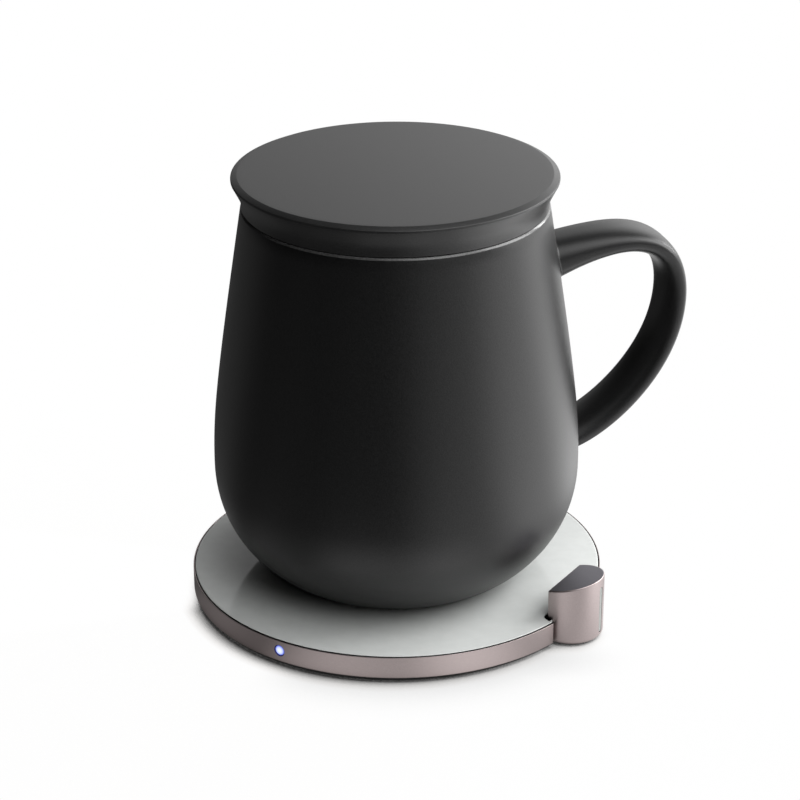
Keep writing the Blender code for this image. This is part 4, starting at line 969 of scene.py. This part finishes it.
# %% The seal round the plug
seal_low, seal_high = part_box("lid_seal")
SEAL_THICKNESS = 0.0013
RIB = 0.00042
seal_outer = seal_high.y
seal_middle = (seal_low.z + seal_high.z) / 2
seal_bore = seal_outer - SEAL_THICKNESS
seal_outline = [(seal_bore, seal_low.z), (seal_outer - RIB, seal_low.z)]
seal_outline += arc((seal_outer - RIB, seal_low.z + RIB), RIB, -80.0, 80.0, 8)
seal_outline += [(seal_outer - 1.4 * RIB, seal_middle)]
seal_outline += arc((seal_outer - RIB, seal_high.z - RIB), RIB, -80.0, 80.0, 8)
seal_outline += [(seal_outer - RIB, seal_high.z), (seal_bore, seal_high.z)]
lid_ring = smoothed(turned("lid_ring", seal_outline, loop=True), 50.0)
SEAL_TONES = [(0.030, 0.030, 0.032), (0.042, 0.042, 0.044)]
seal_rubber = grained("seal_rubber", SEAL_TONES, 0.0005, 0.6, relief=0.00001)
mounted(lid_ring, "lid", "lid_seal", seal_rubber)

# %% [markdown]
# ## Under the mug and under the pad
# The mug stands on a silicone ring pressed into the groove of its foot.
# A moulded plug closes the hollow that holds the heater.
# The pad stands on a rubber sheet with ring-shaped treads, which keep it from sliding.
# All three are turned outlines, with the treads and steps drawn straight into them.

# %% Foot ring
foot_low, foot_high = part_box("mug_foot_ring")
FOOT_RING_WIDTH = 0.0014
FOOT_ROUND = 0.00045
foot_ring = smoothed(turned_band("foot_ring", foot_high, foot_low, FOOT_RING_WIDTH, FOOT_ROUND, 5))
foot_rubber = grained("foot_rubber", (0.016, 0.027), 0.0005, 0.78, relief=0.00003)
mounted(foot_ring, "mug", "mug_foot_ring", foot_rubber)

# %% Base plug
cap_low, cap_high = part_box("mug_base_cap")
CAP_STEP = 0.00025
CAP_DIMPLE = 0.0002
cap_radius = cap_high.y
cap_corners = [(0.0, cap_high.z, 0.0), (cap_radius, cap_high.z, 0.0002), (cap_radius, cap_low.z, 0.0003)]
for radius, depth in ((0.0245, 0.0), (0.0242, CAP_STEP), (0.0235, CAP_STEP), (0.0232, 0.0),
                      (0.0065, 0.0), (0.0062, CAP_DIMPLE)):
    cap_corners.append((radius, cap_low.z + depth, FINE_ROUND))
cap_corners.append((0.0, cap_low.z + CAP_DIMPLE, 0.0))
base_plug = smoothed(turned("base_plug", rounded(cap_corners, steps=3)))
MOULDING_TONES = [(0.016, 0.016, 0.017), (0.024, 0.024, 0.025)]
black_moulding = grained("black_moulding", MOULDING_TONES, 0.0004, 0.55, relief=0.000015)
mounted(base_plug, "mug", "mug_base_cap", black_moulding)

# %% Rubber sheet with treads
sheet_low, sheet_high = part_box("foot_pad")
sheet_radius = sheet_high.y
TREAD_DEPTH = 0.0003
TREAD_RADII = (0.0475, 0.0440, 0.0405, 0.0180)
TREAD_STEPS = ((0.0, 0.0), (0.0002, TREAD_DEPTH), (0.0012, TREAD_DEPTH), (0.0014, 0.0))
tread_corners = [(0.0, sheet_high.z, 0.0), (sheet_radius, sheet_high.z, FINE_ROUND)]
tread_corners.append((sheet_radius, sheet_low.z, 0.0003))
for tread_radius in TREAD_RADII:
    for inwards, depth in TREAD_STEPS:
        tread_corners.append((tread_radius - inwards, sheet_low.z + depth, FINE_ROUND))
tread_corners.append((0.0, sheet_low.z, 0.0))
foot_sheet = smoothed(turned("foot_sheet", rounded(tread_corners, steps=2)))
mounted(foot_sheet, "pad", "foot_pad", foot_rubber)

# %% [markdown]
# ## The power socket
# The socket at the back is a drawn steel shell with a black tongue in it that carries the contacts.
# The shell is a slot-shaped tube with a rolled mouth, and the tongue is a moulded blade on a thicker root.

# %% The socket's shell
SHELL_WALL = 0.0003
shell_front = socket_high.y
shell_length = socket_high.y - socket_low.y
shell_levels = [(0.0, -shell_length), (0.0, -FINE_ROUND), (FINE_ROUND, 0.0)]
shell_levels += [(SHELL_WALL - FINE_ROUND, 0.0), (SHELL_WALL, -FINE_ROUND), (SHELL_WALL, -shell_length)]
shell_outline = slot_outline(SOCKET_WIDTH, SOCKET_HEIGHT)
shell_rows = []
for distance, level in shell_levels:
    shell_rows.append([(x, y, level) for x, y in drawn_in(shell_outline, distance)])
socket_shell = rows_to_piece("socket_shell", shell_rows, loop=True)
smoothed(laid_outwards(socket_shell, shell_front, SOCKET_MIDDLE, SOCKET_AZIMUTH))
bright_steel = grained("bright_steel", [(0.55, 0.55, 0.56), (0.66, 0.66, 0.67)], 0.0006, 0.28, metallic=1.0)
mounted(socket_shell, "pad", "inlet_shell", bright_steel)

# %% The socket's tongue
tongue_low, tongue_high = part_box("inlet_tongue")
PLUG_ROOM = SHELL_WALL + 0.0003
TONGUE_ROOT = 0.0016
BLADE_HALF_HEIGHT = 0.00035
BLADE_HALF_WIDTH = 0.0033
blade_end = tongue_high.y - tongue_low.y
root_outline = slot_outline(SOCKET_WIDTH - 2 * PLUG_ROOM, SOCKET_HEIGHT - 2 * PLUG_ROOM)
socket_tongue = stacked("socket_tongue", root_outline, [(0.0, 0.0), (TONGUE_ROOT, 0.0)])
blade_corners = []
for side_x, side_y in ((-1, -1), (1, -1), (1, 1), (-1, 1)):
    blade_corners.append((side_x * BLADE_HALF_HEIGHT, side_y * BLADE_HALF_WIDTH, FINE_ROUND))
blade_levels = [(TONGUE_ROOT / 2, 0.0), (blade_end - 0.0002, 0.0), (blade_end, 0.00015)]
combined(socket_tongue, stacked("blade", rounded(blade_corners, True), blade_levels), "UNION")
laid_outwards(socket_tongue, tongue_low.y, SOCKET_MIDDLE, SOCKET_AZIMUTH)
smoothed(socket_tongue)
tongue_plastic = grained("tongue_plastic", (0.022, 0.034), 0.0005, 0.45)
mounted(socket_tongue, "pad", "inlet_tongue", tongue_plastic)

# %% [markdown]
# ## Parts inside
# The coils, boards and screws keep their frame shapes, because they are seldom seen.
# Each still gets the surface of what it is made of, so that the object is right when it is opened up.

# %% Finishes for the parts inside
# Each recipe gives the tones, the grain, the roughness, the metallic share, the relief and the gloss change.
recipes = {
    "copper_wire": ([(0.50, 0.20, 0.085), (0.68, 0.29, 0.14)], 0.0007, 0.32, 1.0),
    "ferrite": ([(0.036, 0.036, 0.040), (0.056, 0.056, 0.062)], 0.0007, 0.55, 0.0, 0.00002),
    "circuit_board": ([(0.008, 0.070, 0.034), (0.018, 0.125, 0.062)], 0.0016, 0.42),
    "chip_black": ([(0.014, 0.014, 0.015), (0.022, 0.022, 0.024)], 0.0003, 0.5, 0.0, 0.00001),
    "capacitor_tan": ([(0.40, 0.29, 0.17), (0.50, 0.37, 0.23)], 0.0008, 0.45),
    "led_body": ([(0.62, 0.62, 0.57), (0.74, 0.74, 0.70)], 0.0006, 0.4),
    "film_amber": ([(0.33, 0.17, 0.045), (0.46, 0.26, 0.075)], 0.0022, 0.32),
    "felt": ([(0.47, 0.45, 0.40), (0.60, 0.58, 0.53)], 0.0006, 0.95, 0.0, 0.0002, 0.02),
}
inside = {name: grained(name, *recipe) for name, recipe in recipes.items()}
inside["black_moulding"] = black_moulding
inside["bright_steel"] = bright_steel
made_of = [
    ("black_moulding", ["base_cover", "coil_tray", "post_core"]),
    ("copper_wire", ["transmitter_coil", "receiver_coil"]),
    ("ferrite", ["pad_ferrite", "receiver_ferrite", "filter_inductor"]),
    ("circuit_board", ["control_board", "receiver_board"]),
    ("chip_black", ["driver_chip", "control_chip", "rectifier_chip", "plate_thermistor", "mug_sensor"]),
    ("capacitor_tan", ["resonance_capacitor_" + number for number in "123"]),
    ("led_body", ["indicator_led"]),
    ("film_amber", ["heating_film"]),
    ("felt", ["insulation_pad"]),
    ("bright_steel", ["thermal_cutout", "post_screw"] + ["base_screw_" + number for number in "1234"])
]
for surface, node_names in made_of:
    for node_name in node_names:
        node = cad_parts[node_name]
        node.data.materials.clear()
        node.data.materials.append(inside[surface])
print(sum(len(node_names) for surface, node_names in made_of), "inner parts have their finishes")

# %% [markdown]
# ## The table and the surroundings
# The object stands on a white sweep that glows white, and its contact shadow is painted into that glow by
# how open each spot of the floor is.
# The shadow is darkest under the ring's edge and fades within a centimetre.
# It leans away from the light on the right, so the left side of the pad has the deeper shadow.
# A wider and fainter one lies in front of the pad.
# The floor shows from above only, so that the pad's underside can be looked at from below.
# What the object reflects is soft round patches, because a studio is mostly dark with a few soft lamps.

# %% Patches of light


def calc(tree, operation, first, second):
    """Add a step of plain arithmetic on two values. Each is a number or the output of a node."""
    node = add(tree, "Math")
    node.operation = operation
    feed(tree, node.inputs[0], first)
    feed(tree, node.inputs[1], second)
    return node.outputs["Value"]


def eased(tree, value, low, high, start, end):
    """Change smoothly from start to end while a value goes from low to high."""
    ends = {"From Min": low, "From Max": high, "To Min": start, "To Max": end}
    node = add(tree, "MapRange", Value=value, **ends)
    node.interpolation_type = "SMOOTHSTEP"
    return node.outputs["Result"]


def direction(azimuth, elevation):
    """A step of one metre at an azimuth and an elevation in degrees."""
    flat = cos(radians(elevation))
    return Vector((*(heading(azimuth) * flat), sin(radians(elevation))))


def patches(tree, way, spots):
    """Add up soft round patches. Spots are (azimuth, elevation, half width in degrees, brightness)."""
    total = 0.0
    for azimuth, elevation, half_width, brightness in spots:
        middle = vector_step(tree, "DOT_PRODUCT", way, direction(azimuth, elevation))
        edge = cos(radians(half_width))
        total = calc(tree, "ADD", total, eased(tree, middle.outputs["Value"], edge, 1.0, 0.0, brightness))
    return total


print("a patch is brightest in its middle and ends softly")

# %% The floor
FLOOR_RADIUS = 2.5
FLOOR_TOP = -0.0001
FLOOR_BOTTOM = -0.0011
floor_outline = [(0.0, FLOOR_TOP), (0.2, FLOOR_TOP), (FLOOR_RADIUS, FLOOR_TOP)]
floor_outline += [(FLOOR_RADIUS, FLOOR_BOTTOM), (0.0, FLOOR_BOTTOM)]
floor = turned("floor", floor_outline, facets=64)
floor_white, table = blank_finish("floor_white")
floor_white.cycles.emission_sampling = "NONE"
floor.data.materials.append(floor_white)
table.nodes.clear()
print("the floor is", FLOOR_RADIUS * 2, "m across")

# %% How open and how far round a spot of the floor is
ground = add(table, "NewGeometry")
ground_way = vector_step(table, "NORMALIZE", ground.outputs["Position"]).outputs["Vector"]
far_out = vector_step(table, "LENGTH", ground.outputs["Position"]).outputs["Value"]
LEAN = 0.5


def openness(reach, azimuth):
    """How open a spot of the floor is, seen with a lean to an azimuth."""
    lean_way = Vector((*(heading(azimuth) * LEAN), 1.0)).normalized()
    lean_to = add(table, "CombineXYZ", X=lean_way.x, Y=lean_way.y, Z=lean_way.z).outputs["Vector"]
    occlusion = add(table, "AmbientOcclusion", Distance=reach, Normal=lean_to)
    occlusion.samples = 8
    return occlusion.outputs["AO"]


def towards(azimuth):
    """How much a spot of the floor lies towards an azimuth, from -1 to 1."""
    return vector_step(table, "DOT_PRODUCT", ground_way, direction(azimuth, 0.0)).outputs["Value"]


print("the openness leans by", round(degrees(atan(LEAN)), 1), "degrees")

# %% The contact shadow
# Painted shadow: these ramps darken the floor's white glow by how open each spot is, leaning away from the
# light on the right.
CONTACT_REACH = 0.005
SOFT_REACH = 0.018
CONTACT_TONES = [(0.30, 0.015), (0.45, 0.10), (0.55, 0.36), (0.66, 0.66), (0.80, 0.88), (0.91, 0.96)]
FULLY_LIT = (0.99, (1.0, 1.0, 1.0))
SOFT_TONES = [(0.34, 0.79), (0.57, 0.84), (0.67, 0.88), (0.75, 0.93), (0.86, 0.99), (0.93, 1.0)]
WARMTH = (1.0, 0.985, 0.975)
lit_side = calc(table, "MULTIPLY", calc(table, "SUBTRACT", 1.0, towards(210)), 0.14)
lit_side = calc(table, "ADD", lit_side, eased(table, towards(180), 0.95, 1.0, 0.0, 0.38))
contact = calc(table, "ADD", openness(CONTACT_REACH, 35), lit_side)
contact_stops = [(position, tuple(tone * part for part in WARMTH)) for position, tone in CONTACT_TONES]
contact_shadow = ramp_between(table, contact, contact_stops + [FULLY_LIT])
soft_stops = [(position, colour_of(tone)) for position, tone in SOFT_TONES]
soft_shadow = ramp_between(table, openness(SOFT_REACH, 90), soft_stops)
front = eased(table, towards(280), 0.66, 0.86, 0.0, 1.0)
soft_loss = calc(table, "MULTIPLY", front, calc(table, "SUBTRACT", 1.0, soft_shadow))
shadow = vector_step(table, "SCALE", contact_shadow)
feed(table, shadow.inputs["Scale"], calc(table, "SUBTRACT", 1.0, soft_loss))
print("the shadows reach", round(CONTACT_REACH * 1000), "and", round(SOFT_REACH * 1000), "mm")

# %% What the object sees of the table
GROUND_PATCH = 45
NEAR_END = 0.060
FAR_START = 0.120
NEAR_LIGHT = {0: 0.62, 135: 0.19, 180: 0.11, 225: 0.21, 270: 0.79, 315: 0.80}
FAR_LIGHT = {0: 1.7, 45: 1.3, 135: 0.12, 180: 0.07, 225: 0.09, 270: 0.06, 315: 0.70}


def ring_of_light(light, inner, outer):
    """Patches round the pad, fading from inner to outer brightness with the distance."""
    spots = [(azimuth, 0, GROUND_PATCH, brightness) for azimuth, brightness in light.items()]
    fade = eased(table, far_out, NEAR_END, FAR_START, inner, outer)
    return calc(table, "MULTIPLY", patches(table, ground_way, spots), fade)


to_camera = add(table, "LightPath").outputs["Is Camera Ray"]
to_object = calc(table, "SUBTRACT", 1.0, to_camera)
both_rings = calc(table, "ADD", ring_of_light(NEAR_LIGHT, 1.0, 0.0), ring_of_light(FAR_LIGHT, 0.0, 1.0))
reflected = calc(table, "MULTIPLY", both_rings, to_object)
shining = calc(table, "ADD", reflected, to_camera)
table_light = add(table, "Emission", Color=shadow.outputs["Vector"], Strength=shining)
under = calc(table, "MULTIPLY", eased(table, far_out, 0.040, 0.050, 0.45, 0.0), to_object)
under_light = add(table, "Emission", Strength=under)
print("the table has", len(NEAR_LIGHT), "near and", len(FAR_LIGHT), "far patches")

# %% A floor that shows from above only
both_lights = add(table, "AddShader")
feed(table, both_lights.inputs[0], table_light.outputs["Emission"])
feed(table, both_lights.inputs[1], under_light.outputs["Emission"])
facing = add(table, "SeparateXYZ", Vector=ground.outputs["Normal"])
two_sides = add(table, "MixShader", Fac=calc(table, "LESS_THAN", facing.outputs["Z"], 0.0))
feed(table, two_sides.inputs[1], both_lights.outputs["Shader"])
feed(table, two_sides.inputs[2], add(table, "BsdfTransparent").outputs["BSDF"])
add(table, "OutputMaterial", Surface=two_sides.outputs["Shader"])
print("the floor's finish has", len(table.nodes), "nodes")

# %% The surroundings
SKY_SPOTS = [(60, 15, 34, 1.85), (90, 15, 34, 0.75), (330, 45, 34, 1.25),
             (315, 68, 34, 2.35), (0, 68, 34, 0.50), (303, 36, 26, 1.6)]
world = bpy.data.worlds.new("surroundings")
bpy.context.scene.world = world
world.use_nodes = True
sky = world.node_tree
sky.nodes.clear()
sky_camera = add(sky, "LightPath").outputs["Is Camera Ray"]
sky_patches = patches(sky, add(sky, "TexCoord").outputs["Generated"], SKY_SPOTS)
to_pieces = calc(sky, "MULTIPLY", sky_patches, calc(sky, "SUBTRACT", 1.0, sky_camera))
sky_light = add(sky, "Background", Strength=calc(sky, "ADD", to_pieces, sky_camera))
add(sky, "OutputWorld", Surface=sky_light.outputs["Background"])
print("the surroundings have", len(SKY_SPOTS), "patches")

# %% [markdown]
# ## The lamps
# A soft lamp stands to the right and a little behind, and draws a wide highlight down the mug's side.
# It is large, because a large lamp has soft edges in every reflection.
# A narrow one further back picks out the crisp edges: the mug's rim and the lid's bevel.

# %% Place the lamps
LAMP_DISTANCE = 0.73
LAMP_AIM = Vector((0.0, 0.0, 0.05))


def area_lamp(name, azimuth, elevation, size, power):
    """A soft rectangular lamp at an azimuth and elevation, which the camera does not see."""
    light = bpy.data.lights.new(name, "AREA")
    light.shape = "RECTANGLE"
    light.size = size[0]
    light.size_y = size[1]
    light.energy = power
    lamp = into_scene(name, light)
    lamp.location = LAMP_AIM + direction(azimuth, elevation) * LAMP_DISTANCE
    lamp.rotation_euler = (LAMP_AIM - lamp.location).to_track_quat("-Z", "Y").to_euler()
    lamp.visible_camera = False
    return lamp


area_lamp("right_lamp", 9.0, 30.5, (0.40, 0.60), 4.6)
area_lamp("edge_lamp", 40.0, 20.0, (0.12, 0.30), 1.0)
print("two lamps stand", LAMP_DISTANCE, "m from the mug")

# %% [markdown]
# ## The camera
# The camera looks down at the pad from the front with a long lens, which keeps the ellipses calm.

# %% Place the camera
CAMERA_SPOT = (0.0, -0.6203, 0.3323)
LENS_LENGTH = 117.0
SENSOR_WIDTH = 36.0
VIEW_REACH = 12.0
yaw = radians(0.093)
pitch = radians(24.218)
roll = radians(-0.175)
camera_data = bpy.data.cameras.new("camera")
camera_data.sensor_width = SENSOR_WIDTH
camera_data.lens = LENS_LENGTH
camera_data.clip_end = VIEW_REACH
camera = into_scene("camera", camera_data)
bpy.context.scene.camera = camera
forward = Vector((sin(yaw) * cos(pitch), cos(yaw) * cos(pitch), -sin(pitch)))
level = Vector((cos(yaw), -sin(yaw), 0.0))
above = level.cross(forward)
sideways = cos(roll) * level + sin(roll) * above
upwards = -sin(roll) * level + cos(roll) * above
pointing = Matrix((sideways, upwards, -forward)).transposed().to_4x4()
pointing.translation = CAMERA_SPOT
camera.matrix_world = pointing
bpy.context.scene.view_settings.view_transform = "Standard"
print("the camera stands", round(camera.location.length, 2), "m away")
